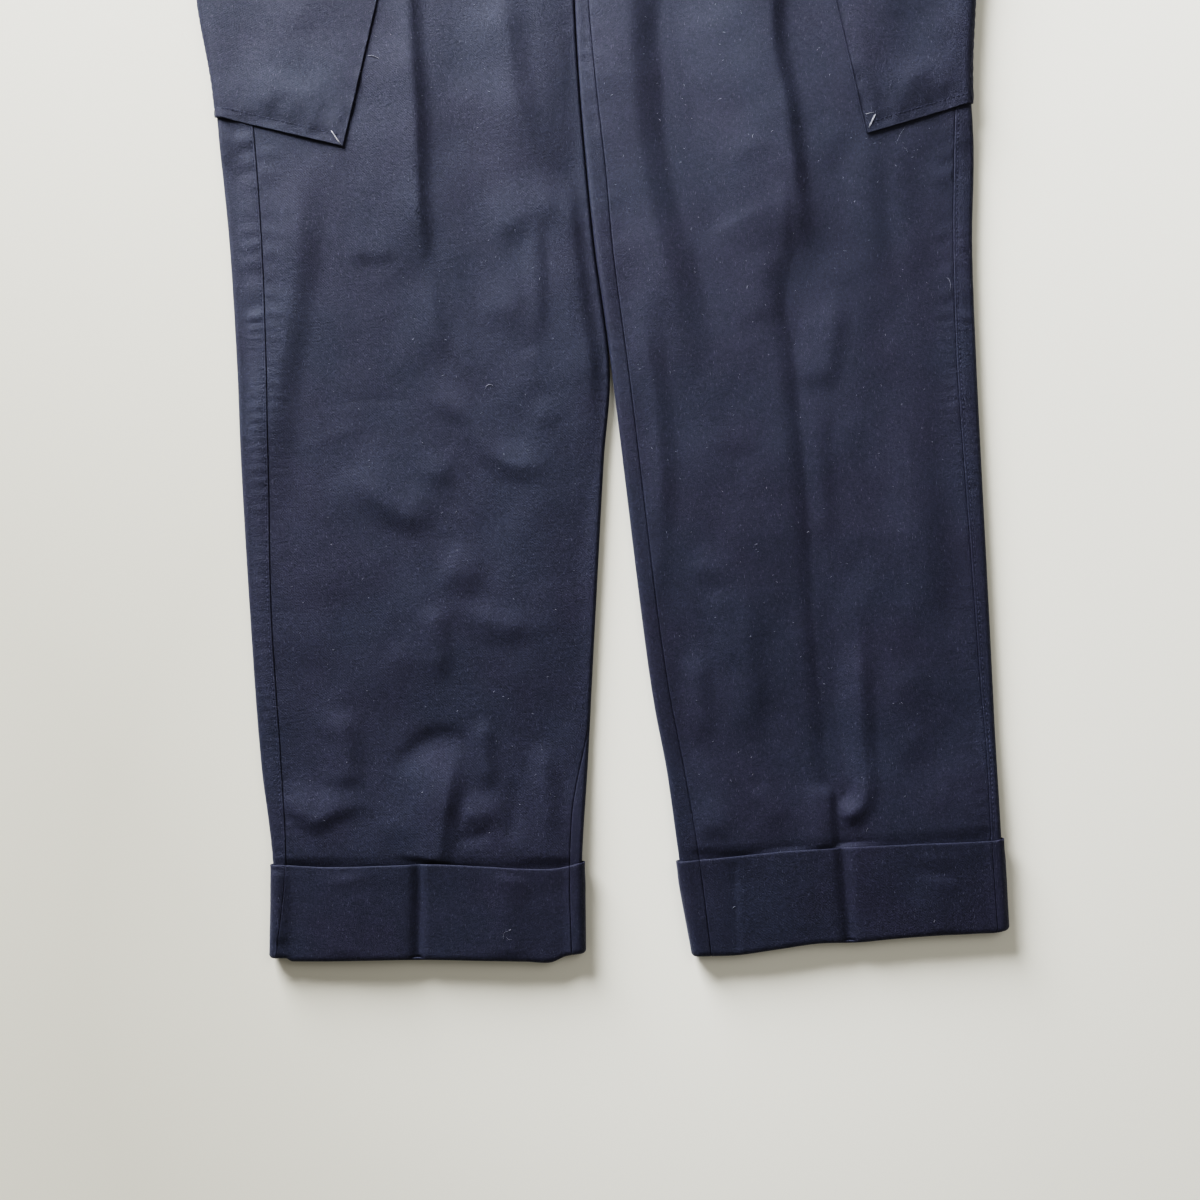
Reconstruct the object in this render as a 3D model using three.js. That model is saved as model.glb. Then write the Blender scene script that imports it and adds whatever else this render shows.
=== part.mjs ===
// Wool cargo trousers with turned-up hems, lying flat on their back with the front upwards.
// Millimetres: +X towards the wearer's left, +Y towards the waist, +Z up from the surface they lie on.
// Each panel is a loft of thin closed sections. A leg is a flattened tube: its front panel lies on top
// between the two seams, and its back panel starts at the side seam, goes round the outer fold, along
// the surface and round the inner fold, up to the inside seam.

import * as THREE from 'three';
import { LoftGeometry } from 'three/addons/geometries/LoftGeometry.js';
import { mergeGeometries } from 'three/addons/utils/BufferGeometryUtils.js';

const { clamp, lerp, smoothstep } = THREE.MathUtils;
const over = (value, range) => smoothstep(value, range.from, range.to);

// Heights above the fold at the bottom of the wearer's right leg
const CROTCH = 720;
const FLY_END = 800;
const WAIST_SEAM = 966;
const WAISTBAND_TOP = 1006;
const TURN_UP = 65;

// The middle of the outline, which is the origin
const MIDDLE_X = -1.3;
const MIDDLE_Y = 503;

// Thickness of the cloth and of what is made of more than one layer
const WOOL = 1.4;
const TURN_UP_WOOL = 2;
const HEM_FOLD_WOOL = 1.6;
const WAISTBAND_WOOL = 2.6;

// Gaps between pieces
const SEAM_GAP = 0.3;
const LAYER_GAP = 0.3;
const LEG_GAP = 1;

// How the layers lie on each other
const LAYER_SLACK = 1.6; // room between the front and the back panel away from the folds
const DEEPEST = 1.2; // of the troughs in the front
const TURN_UP_STEP = 2.4; // from the leg's middle layer out to the turn-up's
const OUTER_RADIUS = 2.3; // of the cloth's middle at the outer fold
const HEM_RADIUS = 1.8; // of both folds inside the turn-up
const EDGE_FADE = 26; // how far a fold's height reaches into the panel
const HEM_FADE = 45; // how far above the turn-up the leg comes down to the surface
const LEGS_MEET = { from: 396, to: 440 }; // heights over which the two inner folds come together
const SEAM_TURN = { from: 660, to: 716 }; // the inside seam sinks from the top into the fold
const RISE_BLEND = 22; // above the crotch, where the folds open into flat panels

// Fly: the wearer's left front is lifted over the right one, and then passes over it
const FLY_LAP = 8;
const FLY_FADE = 24;
const FLY_LIFT = { from: FLY_END - 24, to: FLY_END - 6 };
const FLY_CROSSING = { from: FLY_END - 4, to: FLY_END + 14 };

// Waistband: straight ends, the left over the right
const BAND_UNDERLAP = 30;
const BAND_STEP = 26; // over which the left end climbs onto the right one
const BUTTON_INSET = 12;
const BUTTON = { radius: 8.5, thickness: 2, hole: 1, holeSpacing: 1.9, bevel: 0.6 };
const BUTTON_SIDES = { rim: 32, hole: 8 };

// Cargo pockets, turned towards the centre front by their tilt in radians. The patch stands off the
// leg on its bellows along the free edges, and rests closer to it in the middle.
const POCKET = { width: 185, height: 200, tilt: 0.23, standOff: 3.2, rest: 1.6, edge: 18, fade: 22 };
const POCKET_ROWS = [0, 18, 40, 65, 88, 110, 132, 154, 177, 200];
const cos = Math.cos(POCKET.tilt);
const sin = Math.sin(POCKET.tilt);
const BELLOWS = { inset: 3, width: 14, bottom: 0.9, top: 2.8 };
const BELLOWS_DOWN = [1, 0.8, 0.6, 0.4, 0.2, 0.08]; // shares of the front edge, from its upper end
const BELLOWS_OUT = [0.4, 0.7, 1]; // shares of the bottom edge, from the corner
const FOLD_RUN_IN = 16; // how far before the fold the patch comes down to the leg
const FLAP = { overhang: 2, gap: 0.8 };
const FLAP_ROWS = [-52, -38, -18, 1, 11]; // from the patch's upper edge

// The leg lies higher where the pocket and its flap are wrapped round under it. Heights count from the
// pocket's corner, and the margin and the fade run inwards from its rear edge.
const LIFT = { margin: 4, fade: 30 };
const PATCH_LIFT = { from: -23, to: 7 };
const FLAP_LIFT = { from: 80, to: 165 };
const LIFT_END = { from: 256, to: 290 };

// Where the two legs and, above the crotch, the two halves of the body meet
const MEETING = [
  { y: 380, x: 9.5 },
  { y: 412, x: 5.6 },
  { y: 442, x: 1.3 },
  { y: 475, x: -3.4 },
  { y: 527, x: -8.8 },
  { y: 586, x: -13.8 },
  { y: 643, x: -17 },
  { y: 720, x: -20 },
  { y: 800, x: -13 },
  { y: 966, x: -8 },
];

// A row for each section across a leg: its height at the middle, its rise for each millimetre towards
// the wearer's left, and where the two folds, the two seams and the pressed crease lie.
const RIGHT_LEG = [
  { y: 0, rise: 0, outerFold: -217.8, sideSeam: -208.8, crease: -117, insideSeam: -20.5, innerFold: -12 },
  { y: 66, rise: 0, outerFold: -217.8, sideSeam: -209.2, crease: -111, insideSeam: -19.9, innerFold: -12 },
  { y: 134, rise: 0, outerFold: -226.5, sideSeam: -212.7, crease: -108.5, insideSeam: -16.4, innerFold: -8 },
  { y: 235, rise: 0, outerFold: -234, sideSeam: -219.2, crease: -112, insideSeam: -11.4, innerFold: -2.7 },
  { y: 335, rise: 0, outerFold: -239.9, sideSeam: -221.1, crease: -115, insideSeam: -6.4, innerFold: 2.7 },
  { y: 395, rise: 0, outerFold: -242.3, sideSeam: -222, crease: -116, insideSeam: -2, innerFold: 6.6 },
  { y: 475, rise: 0, outerFold: -247.2, sideSeam: -225, crease: -117, insideSeam: -11, innerFold: -4 },
  { y: 535, rise: 0, outerFold: -253, sideSeam: -229, crease: -119.5, insideSeam: -17, innerFold: -10 },
  { y: 586, rise: 0, outerFold: -258, sideSeam: -234, crease: -123, insideSeam: -21, innerFold: -14.3 },
  { y: 643, rise: 0, outerFold: -267.8, sideSeam: -241, crease: -126.6, insideSeam: -24.5, innerFold: -17.5 },
  { y: 720, rise: 0, outerFold: -271.5, sideSeam: -247, crease: -129, insideSeam: -28, innerFold: -20.5 },
  { y: 800, rise: 0, outerFold: -269, sideSeam: -246, crease: -127, insideSeam: -20, innerFold: -13.5 },
  { y: 880, rise: 0, outerFold: -257, sideSeam: -236, crease: -120, insideSeam: -17, innerFold: -11 },
  { y: 966, rise: 0, outerFold: -226, sideSeam: -207, crease: -106, insideSeam: -14, innerFold: -8.5 },
];
const LEFT_LEG = [
  { y: 13, rise: 0.075, outerFold: 270.3, sideSeam: 260.8, crease: 165, insideSeam: 74, innerFold: 64 },
  { y: 72, rise: 0.073, outerFold: 267.3, sideSeam: 260.6, crease: 159, insideSeam: 66.7, innerFold: 53.5 },
  { y: 134, rise: 0.065, outerFold: 264, sideSeam: 257.6, crease: 153.5, insideSeam: 56.3, innerFold: 44.6 },
  { y: 180, rise: 0.06, outerFold: 261.9, sideSeam: 253.6, crease: 148, insideSeam: 47.2, innerFold: 35.8 },
  { y: 235, rise: 0.055, outerFold: 259.3, sideSeam: 249.6, crease: 141.5, insideSeam: 38.9, innerFold: 28 },
  { y: 335, rise: 0.045, outerFold: 254.3, sideSeam: 242.2, crease: 132.5, insideSeam: 26.8, innerFold: 15.7 },
  { y: 395, rise: 0.038, outerFold: 251.4, sideSeam: 238, crease: 128.3, insideSeam: 19.5, innerFold: 8.3 },
  { y: 475, rise: 0.03, outerFold: 248.6, sideSeam: 235.6, crease: 122.5, insideSeam: 9, innerFold: -2.6 },
  { y: 535, rise: 0.022, outerFold: 249.6, sideSeam: 236, crease: 118.5, insideSeam: 3.4, innerFold: -9 },
  { y: 586, rise: 0.016, outerFold: 247.2, sideSeam: 236.8, crease: 116.5, insideSeam: -2.5, innerFold: -13.4 },
  { y: 643, rise: 0.01, outerFold: 249.4, sideSeam: 238, crease: 114, insideSeam: -7.7, innerFold: -16.5 },
  { y: 720, rise: 0, outerFold: 252, sideSeam: 237, crease: 112, insideSeam: -12.5, innerFold: -19.5 },
  { y: 800, rise: 0, outerFold: 250.5, sideSeam: 232, crease: 108, insideSeam: -6, innerFold: -12.5 },
  { y: 880, rise: 0, outerFold: 241, sideSeam: 222, crease: 103, insideSeam: -4, innerFold: -10 },
  { y: 966, rise: 0, outerFold: 210, sideSeam: 192, crease: 94, insideSeam: -2, innerFold: -7.5 },
];

// How a fold dies out at either end, as shares of its length
const FOLD_START = { from: -0.12, to: 0.2 };
const FOLD_STOP = { from: 0.8, to: 1.12 };
const FLATTENING = 0.4; // share of a fold's height that the turn-up takes just above its edge

// Heights of the sections. The lower ones count from the leg's own hem.
const UPPER_ROWS = [
  966, 942, 914, 886, 858, 830, 812, 796, 780, 762, 744, 732, 720, 706, 692, 678, 660, 640, 620, 600,
  580, 560, 540, 520, 498, 474, 450, 426, 402, 378, 354, 330, 306, 282, 258, 234, 212, 190, 170,
];
const LOWER_ROWS = [140, 124, 108, 94, 80, 66, 42, 20];
const HEM_TURNS = [Math.PI / 4, Math.PI / 2, (3 * Math.PI) / 4];
const TURN_UP_ROWS = [2, 22, 44, TURN_UP];

// The largest folds of the front panels, each an arc from one end to the other. Width is from its line
// to where it dies out, and a negative height is a trough.
const FOLDS = [
  { name: 'right crease', x1: -127, y1: 700, x2: -116.5, y2: 440, bow: 0, width: 16, height: 1.8 },
  { name: 'right crease over cuff', x1: -109, y1: 150, x2: -111, y2: 50, bow: -3, width: 12, height: 2.2 },
  { name: 'right crotch pull', x1: -58, y1: 650, x2: -24, y2: 505, bow: 6, width: 14, height: 2 },
  { name: 'right thigh pull', x1: -68, y1: 478, x2: -30, y2: 506, bow: -3, width: 13, height: 1.8 },
  { name: 'right knee rise', x1: -222, y1: 340, x2: -128, y2: 368, bow: -4, width: 16, height: 1.6 },
  { name: 'right knee trough', x1: -166, y1: 327, x2: -112, y2: 280, bow: 6, width: 17, height: -1 },
  { name: 'right inner knee trough', x1: -86, y1: 358, x2: -32, y2: 314, bow: 7, width: 16, height: -1 },
  { name: 'right shin mound', x1: -84, y1: 250, x2: -40, y2: 234, bow: 4, width: 20, height: 1.6 },
  { name: 'right ankle arch', x1: -112, y1: 112, x2: -72, y2: 124, bow: -14, width: 12, height: 2.6 },
  { name: 'right ankle hollow', x1: -118, y1: 158, x2: -98, y2: 148, bow: 0, width: 16, height: -1 },
  { name: 'right ankle outer mound', x1: -214, y1: 112, x2: -168, y2: 98, bow: 4, width: 20, height: 2 },
  { name: 'left crease', x1: 114, y1: 700, x2: 153, y2: 130, bow: -6, width: 15, height: 1.8 },
  { name: 'left inner trough', x1: 30, y1: 643, x2: 74, y2: 230, bow: -10, width: 22, height: -1 },
  { name: 'left thigh ridge', x1: 60, y1: 482, x2: 110, y2: 506, bow: 0, width: 16, height: 1.4 },
  { name: 'left shin trough', x1: 182, y1: 262, x2: 182, y2: 116, bow: 3, width: 13, height: -1 },
  { name: 'left ankle mound', x1: 160, y1: 104, x2: 178, y2: 116, bow: 0, width: 14, height: 2.6 },
];

// A smooth curve through one column of a table: cubic pieces, each row's slope taken from its neighbours
function column(rows, name) {
  const last = rows.length - 1;
  const slopes = rows.map((row, i) => {
    const before = rows[Math.max(i - 1, 0)];
    const after = rows[Math.min(i + 1, last)];
    return (after[name] - before[name]) / (after.y - before.y);
  });
  return (y) => {
    let i = 0;
    while (i < last - 1 && y > rows[i + 1].y) i += 1;
    const span = rows[i + 1].y - rows[i].y;
    const t = clamp((y - rows[i].y) / span, 0, 1);
    const ease = t * t * (3 - 2 * t);
    const leaving = t * (1 - t) * (1 - t) * span * slopes[i];
    const arriving = t * t * (t - 1) * span * slopes[i + 1];
    return lerp(rows[i][name], rows[i + 1][name], ease) + leaving + arriving;
  };
}

function makeLeg(side, hem, innerRadius, corner, rows) {
  const leg = { side, hem, innerRadius, corner };
  for (const name of ['rise', 'outerFold', 'sideSeam', 'crease', 'insideSeam', 'innerFold']) {
    leg[name] = column(rows, name);
  }
  return leg;
}

const meeting = column(MEETING, 'x');
const rightLeg = makeLeg(-1, 0, 1.9, { x: -171, y: 543 }, RIGHT_LEG);
const leftLeg = makeLeg(1, 13, 2.5, { x: 179.5, y: 553 }, LEFT_LEG);

// Height above the surface of a point on a tilted section
const sectionY = (leg, y, x) => y + leg.rise(y) * (x - (leg.outerFold(y) + leg.innerFold(y)) / 2);

// 1 inside the turn-up, 0 where the leg lies on the surface
const inTurnUp = (leg, y) => 1 - smoothstep(y, leg.hem + TURN_UP, leg.hem + TURN_UP + HEM_FADE);

const outerRadius = (leg, y) => lerp(OUTER_RADIUS, HEM_RADIUS, inTurnUp(leg, y));
const innerRadius = (leg, y) => lerp(leg.innerRadius, HEM_RADIUS, inTurnUp(leg, y));

// Where the flat layers end and each fold's round starts
const outerTangent = (leg, y) => leg.outerFold(y) - leg.side * (outerRadius(leg, y) + WOOL / 2);

function innerTangent(leg, y) {
  const own = leg.innerFold(y);
  const shared = meeting(sectionY(leg, y, own)) + (leg.side * LEG_GAP) / 2;
  return lerp(own, shared, over(y, LEGS_MEET)) + leg.side * (innerRadius(leg, y) + WOOL / 2);
}

// How far the pocket's rear edge lies under the leg, from the outer tangent
function pocketReach(leg, y) {
  const up = clamp((y - leg.corner.y - sin * POCKET.width) / cos, 0, POCKET.height);
  const flatX = leg.corner.x + leg.side * (cos * POCKET.width - sin * up);
  return leg.side * (flatX - outerTangent(leg, y)) - Math.PI * OUTER_RADIUS + FLAP.overhang;
}

// How far the leg is lifted by the pocket's part that is wrapped round under it, and by the flap's.
// The lift dies out over a set distance inwards from the pocket's rear edge.
function pocketLift(leg, x, y, margin) {
  const up = y - leg.corner.y;
  const inward = Math.abs(x - outerTangent(leg, y)) - pocketReach(leg, y) - margin;
  const across = 1 - smoothstep(inward, 0, LIFT.fade);
  const patch = (WOOL + LAYER_GAP) * over(up, PATCH_LIFT);
  const flap = (WOOL + FLAP.gap) * over(up, FLAP_LIFT);
  return (patch + flap) * across * (1 - over(up, LIFT_END));
}

// Height of the middle of the layer that lies on the surface. It comes up over the turn-up's lower half.
function floorHeight(leg, x, y, margin = LIFT.margin) {
  const turnUp = (TURN_UP_STEP + TURN_UP_WOOL / 2 - WOOL / 2) * inTurnUp(leg, y);
  return WOOL / 2 + turnUp + pocketLift(leg, x, y, margin);
}

// Height of one fold at a point: a bell across its line, dying out at both ends
function foldHeight(fold, x, y) {
  const along = new THREE.Vector2(fold.x2 - fold.x1, fold.y2 - fold.y1);
  const length = along.length();
  along.normalize();
  const dx = x - fold.x1;
  const dy = y - fold.y1;
  const t = (dx * along.x + dy * along.y) / length;
  const off = dx * along.y - dy * along.x - fold.bow * 4 * t * (1 - t);
  const end = over(t, FOLD_START) * (1 - over(t, FOLD_STOP));
  const bell = 1 - smoothstep(Math.abs(off), 0, fold.width);
  return fold.height * bell * end;
}

const foldsHeight = (x, y) => FOLDS.reduce((sum, fold) => sum + foldHeight(fold, x, y), 0);

// Height of the middle of the upper layer: the folds at both sides stand up from it
function topHeight(leg, x, y) {
  const outer = outerTangent(leg, y);
  const inner = innerTangent(leg, y);
  const rest = floorHeight(leg, x, y, LIFT.margin + LIFT.fade) + WOOL + LAYER_SLACK;
  const outerEdge = floorHeight(leg, outer, y) + 2 * outerRadius(leg, y);
  const innerEdge = floorHeight(leg, inner, y) + 2 * innerRadius(leg, y);
  const nearOuter = 1 - smoothstep(Math.abs(x - outer), 0, EDGE_FADE);
  const nearInner = 1 - smoothstep(Math.abs(x - inner), 0, EDGE_FADE);
  const pressed = 1 - inTurnUp(leg, y) * (y < leg.hem + TURN_UP ? 1 : FLATTENING);
  const folds = Math.max(foldsHeight(x, sectionY(leg, y, x)), -DEEPEST);
  const relief = folds * (1 - nearOuter) * (1 - nearInner) * pressed;
  return rest + (outerEdge - rest) * nearOuter + (innerEdge - rest) * nearInner + relief;
}

// A point of the leg's cloth, by its distance past the outer tangent: below 0 on top, then round the
// fold, then on the surface. nx and nz point out of the leg.
function roundOuterFold(leg, y, past) {
  const radius = outerRadius(leg, y);
  const tangent = outerTangent(leg, y);
  const round = Math.PI * radius;
  if (past <= 0) {
    const x = tangent + leg.side * past;
    return { x, z: topHeight(leg, x, y), nx: 0, nz: 1 };
  }
  if (past >= round) {
    const x = tangent - leg.side * (past - round);
    return { x, z: floorHeight(leg, x, y), nx: 0, nz: -1 };
  }
  const turned = past / radius;
  const nx = leg.side * Math.sin(turned);
  const nz = Math.cos(turned);
  const centre = floorHeight(leg, tangent, y) + radius;
  return { x: tangent + radius * nx, z: centre + radius * nz, nx, nz };
}

// The same at the inner fold, by the distance past the tangent on the surface: below 0 on the surface,
// then up round the fold, then on top
function roundInnerFold(leg, y, past) {
  const radius = innerRadius(leg, y);
  const tangent = innerTangent(leg, y);
  const round = Math.PI * radius;
  if (past <= 0) {
    const x = tangent - leg.side * past;
    return { x, z: floorHeight(leg, x, y), nx: 0, nz: -1 };
  }
  if (past >= round) {
    const x = tangent + leg.side * (past - round);
    return { x, z: topHeight(leg, x, y), nx: 0, nz: 1 };
  }
  const turned = past / radius;
  const nx = -leg.side * Math.sin(turned);
  const nz = -Math.cos(turned);
  const centre = floorHeight(leg, tangent, y) + radius;
  return { x: tangent + radius * nx, z: centre + radius * nz, nx, nz };
}

// How far past the inner tangent the inside seam lies: on top of the leg, and halfway up the fold at
// the crotch
function insideSeamPast(leg, y) {
  const radius = innerRadius(leg, y);
  const onTop = Math.PI * radius + Math.abs(leg.insideSeam(y) - innerTangent(leg, y));
  return lerp(onTop, (Math.PI / 2) * radius, over(y, SEAM_TURN));
}

// 1 where the legs are tubes, 0 where the upper and the lower panels end flat at the centre line
const tubeShare = (y) => 1 - smoothstep(y, CROTCH, CROTCH + RISE_BLEND);

function blendPoints(a, b, share) {
  const point = {};
  for (const key of ['x', 'z', 'nx', 'nz']) point[key] = lerp(a[key], b[key], share);
  const length = Math.hypot(point.nx, point.nz);
  point.nx /= length;
  point.nz /= length;
  return point;
}

// How far the left front is lifted at the fly, and how far it passes over the right one
function flyHeight(leg, x, y) {
  const near = 1 - smoothstep(Math.abs(x - meeting(y)), FLY_LAP, FLY_LAP + FLY_FADE);
  return leg.side > 0 ? (WOOL + LAYER_GAP) * over(y, FLY_LIFT) * near : 0;
}

const flyLap = (leg, y) => (leg.side > 0 ? FLY_LAP * over(y, FLY_CROSSING) : 0);

// The points of a front panel are placed by shares of the way from the seam to the crease and from the
// crease to the inner fold, with two beside the crease. The ends count from the edge at the centre front.
const OUTER_SHARES = [0.35, 0.68];
const INNER_SHARES = [0.32, 0.65];
const BESIDE_CREASE = 11;
const FRONT_ENDS = [9, 4.5, 0];
const EDGE_CLEARANCE = 3 * SEAM_GAP; // beside the inside seam, where the two panels curve
const LAST_STRIP = 4; // least width of the strip beside the inside seam
const FIRST_STRIP = 6; // and of the strip beside the side seam

const onTopLayer = (leg, x, y) => ({ x, z: topHeight(leg, x, y), nx: 0, nz: 1 });

// The front panel's points across the leg, from the side seam to the inside seam or the centre front
function frontPath(leg, y) {
  const seam = leg.sideSeam(y) - (leg.side * SEAM_GAP) / 2;
  const crease = leg.crease(y);
  const past = insideSeamPast(leg, y) + EDGE_CLEARANCE;
  const onTop = Math.max(Math.PI * innerRadius(leg, y), past + LAST_STRIP);
  const inner = roundInnerFold(leg, y, onTop).x;
  const centre = meeting(y) + (leg.side * SEAM_GAP) / 2 - flyLap(leg, y);
  const ends = [onTop, (onTop + past) / 2, past].map((distance, i) => {
    const flat = onTopLayer(leg, centre + leg.side * FRONT_ENDS[i], y);
    return blendPoints(flat, roundInnerFold(leg, y, distance), tubeShare(y));
  });
  const fadeEnd = outerTangent(leg, y) - leg.side * EDGE_FADE;
  const across = [
    seam,
    seam - leg.side * Math.max(leg.side * (seam - fadeEnd), FIRST_STRIP),
    ...OUTER_SHARES.map((share) => lerp(seam, crease, share)),
    crease + leg.side * BESIDE_CREASE,
    crease,
    crease - leg.side * BESIDE_CREASE,
    ...INNER_SHARES.map((share) => lerp(crease, inner, share)),
  ];
  const path = [...across.map((x) => onTopLayer(leg, x, y)), ...ends];
  for (const point of path) point.z += flyHeight(leg, point.x, y);
  return path;
}

const BACK_ENDS = [24, 18, 12, 6, 0]; // from the edge at the centre back
const MOST_ROUND = 0.75; // share of the way to the inside seam that the round of the fold may take

// The back panel's points, from the side seam round both folds to the inside seam or the centre back
function backPath(leg, y) {
  const seam = -Math.abs(leg.sideSeam(y) + (leg.side * SEAM_GAP) / 2 - outerTangent(leg, y));
  const round = Math.PI * outerRadius(leg, y);
  const reach = pocketReach(leg, y) + LIFT.margin;
  const outer = [seam, seam / 2, 0, round / 4, round / 2, (3 * round) / 4, round, round + reach]
    .map((past) => roundOuterFold(leg, y, past));
  const fadeEnd = roundOuterFold(leg, y, round + reach + LIFT.fade);
  const seamPast = insideSeamPast(leg, y);
  const arc = Math.min(Math.PI * innerRadius(leg, y), MOST_ROUND * seamPast);
  const centre = meeting(y) + (leg.side * SEAM_GAP) / 2;
  const inner = [0, arc / 3, (2 * arc) / 3, arc, seamPast].map((past, i) => {
    const x = centre + leg.side * BACK_ENDS[i];
    const flat = { x, z: floorHeight(leg, x, y), nx: 0, nz: -1 };
    return blendPoints(flat, roundInnerFold(leg, y, past), tubeShare(y));
  });
  const middle = { x: (fadeEnd.x + inner[0].x) / 2, z: inner[0].z, nx: 0, nz: -1 };
  return [...outer, fadeEnd, middle, ...inner];
}

// The stations of a panel down the leg, round the fold at the hem and up the turn-up. A turn of 0 is
// the leg itself, and half a turn is the turn-up.
function stations(leg) {
  const hemLine = leg.hem + (TURN_UP_STEP + HEM_FOLD_WOOL) / 2;
  return [
    ...UPPER_ROWS.map((y) => ({ y, turn: 0, wall: WOOL })),
    ...LOWER_ROWS.map((rise) => ({ y: leg.hem + rise, turn: 0, wall: WOOL })),
    { y: hemLine, turn: 0, wall: WOOL },
    ...HEM_TURNS.map((turn) => ({ y: hemLine, turn, wall: HEM_FOLD_WOOL })),
    ...TURN_UP_ROWS.map((rise) => ({ y: leg.hem + rise, turn: Math.PI, wall: TURN_UP_WOOL }))
      .map((station) => ({ ...station, y: Math.max(station.y, hemLine) })),
  ];
}

// One closed section of a wall: its path moved out by half its thickness, and back the other way
function wallSection(leg, path, station) {
  const { y, turn, wall } = station;
  const step = (TURN_UP_STEP / 2) * (1 - Math.cos(turn));
  const sink = (TURN_UP_STEP / 2) * Math.sin(turn);
  const edge = (point, half) => {
    const out = step + half * Math.cos(turn);
    const up = half * Math.sin(turn) - sink;
    const x = point.x + point.nx * out;
    return new THREE.Vector3(x, sectionY(leg, y, point.x) + up, point.z + point.nz * out);
  };
  const outside = path.map((point) => edge(point, wall / 2));
  const inside = path.map((point) => edge(point, -wall / 2));
  return [...outside, ...inside.reverse()];
}

// A closed wall through its sections. Each section runs along one face of the cloth and back along the
// other, so a strip between those two lines closes it at either end.
function loft(sections, reversed) {
  const rings = reversed ? sections.map((section) => [...section].reverse()) : sections;
  const faces = (ring) => [ring.slice(0, ring.length / 2), ring.slice(ring.length / 2).reverse()];
  const start = new LoftGeometry(faces(rings[0]).reverse(), { closed: false });
  const end = new LoftGeometry(faces(rings[rings.length - 1]), { closed: false });
  return mergeGeometries([new LoftGeometry(rings), start, end]);
}

const panel = (leg, pathAt, reversed) =>
  loft(stations(leg).map((station) => wallSection(leg, pathAt(leg, station.y), station)), reversed);

// A point of a pocket's flat pattern, laid on the leg and round its outer fold. across runs from the
// front edge outwards, up runs along the front edge from the bottom corner.
function pocketPoint(leg, across, up, lift) {
  const flatX = leg.corner.x + leg.side * (cos * across - sin * up);
  const y = leg.corner.y + sin * across + cos * up;
  const point = roundOuterFold(leg, y, leg.side * (flatX - outerTangent(leg, y)));
  return new THREE.Vector3(point.x + point.nx * lift, y, point.z + point.nz * lift);
}

// How far along a pocket's row the cloth has gone past the outer tangent by a given distance. The fold's
// place depends on the height that is reached, so the answer is found in a few passes.
function acrossAt(leg, up, past) {
  let across = 0;
  for (let pass = 0; pass < 6; pass += 1) {
    const y = leg.corner.y + sin * across + cos * up;
    const flatX = outerTangent(leg, y) + leg.side * past;
    across = (leg.side * (flatX - leg.corner.x) + sin * up) / cos;
  }
  return across;
}

// Height of the patch's middle over the leg's: on its bellows along the free edges, close to the cloth
// elsewhere
function patchLift(across, up, foldAcross) {
  const fromEdge = Math.max(Math.min(across, up), 0);
  const raised = 1 - smoothstep(fromEdge, POCKET.edge, POCKET.edge + POCKET.fade);
  const onTop = 1 - smoothstep(across, foldAcross - FOLD_RUN_IN, foldAcross);
  return WOOL + LAYER_GAP + onTop * lerp(POCKET.rest - LAYER_GAP, POCKET.standOff, raised);
}

// A layer of a pocket: rows along the leg, each from the front edge round the outer fold to the rear
function pocketLayer(leg, rows, from, to, liftAt) {
  const round = Math.PI * OUTER_RADIUS;
  const sections = rows.map((up) => {
    const fold = acrossAt(leg, up, 0);
    const under = acrossAt(leg, up, round);
    const flat = POCKET.edge + POCKET.fade;
    const runIn = fold - FOLD_RUN_IN;
    const onFold = [0.25, 0.5, 0.75].map((share) => acrossAt(leg, up, round * share));
    const stops = [from, POCKET.edge, flat, (flat + runIn) / 2, runIn, (runIn + fold) / 2, fold];
    const points = (half) => [...stops, ...onFold, under, (under + to) / 2, to]
      .map((across) => pocketPoint(leg, across, up, liftAt(across, up, fold) + half));
    return [...points(WOOL / 2), ...points(-WOOL / 2).reverse()];
  });
  return loft(sections, leg.side < 0);
}

const cargoPocket = (leg) => pocketLayer(leg, POCKET_ROWS, 0, POCKET.width, patchLift);

// The flap hangs over the patch's upper edge, from its own seam just above
function pocketFlap(leg) {
  const rows = FLAP_ROWS.map((up) => POCKET.height + up);
  const lift = (across, up, fold) => patchLift(across, up, fold) + WOOL + FLAP.gap;
  return pocketLayer(leg, rows, -FLAP.overhang, POCKET.width + FLAP.overhang, lift);
}

// The folded gusset under the patch's front and bottom edges
function pocketBellows(leg) {
  const near = BELLOWS.inset;
  const far = BELLOWS.inset + BELLOWS.width;
  const end = acrossAt(leg, near, 0) - FOLD_RUN_IN;
  const down = BELLOWS_DOWN.map((share) => lerp(far, POCKET.height - near, share));
  const out = BELLOWS_OUT.map((share) => lerp(far, end, share));
  const edges = [
    ...down.map((up) => [[near, up], [far, up]]),
    [[near, near], [far, far]],
    ...out.map((across) => [[across, near], [across, far]]),
  ];
  const sections = edges.map(([outer, inner]) => {
    const place = ([across, up], lift) => pocketPoint(leg, across, up, WOOL / 2 + lift);
    return [
      place(outer, BELLOWS.bottom),
      place(outer, BELLOWS.top),
      place(inner, BELLOWS.top),
      place(inner, BELLOWS.bottom),
    ];
  });
  return loft(sections, leg.side > 0);
}

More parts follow.
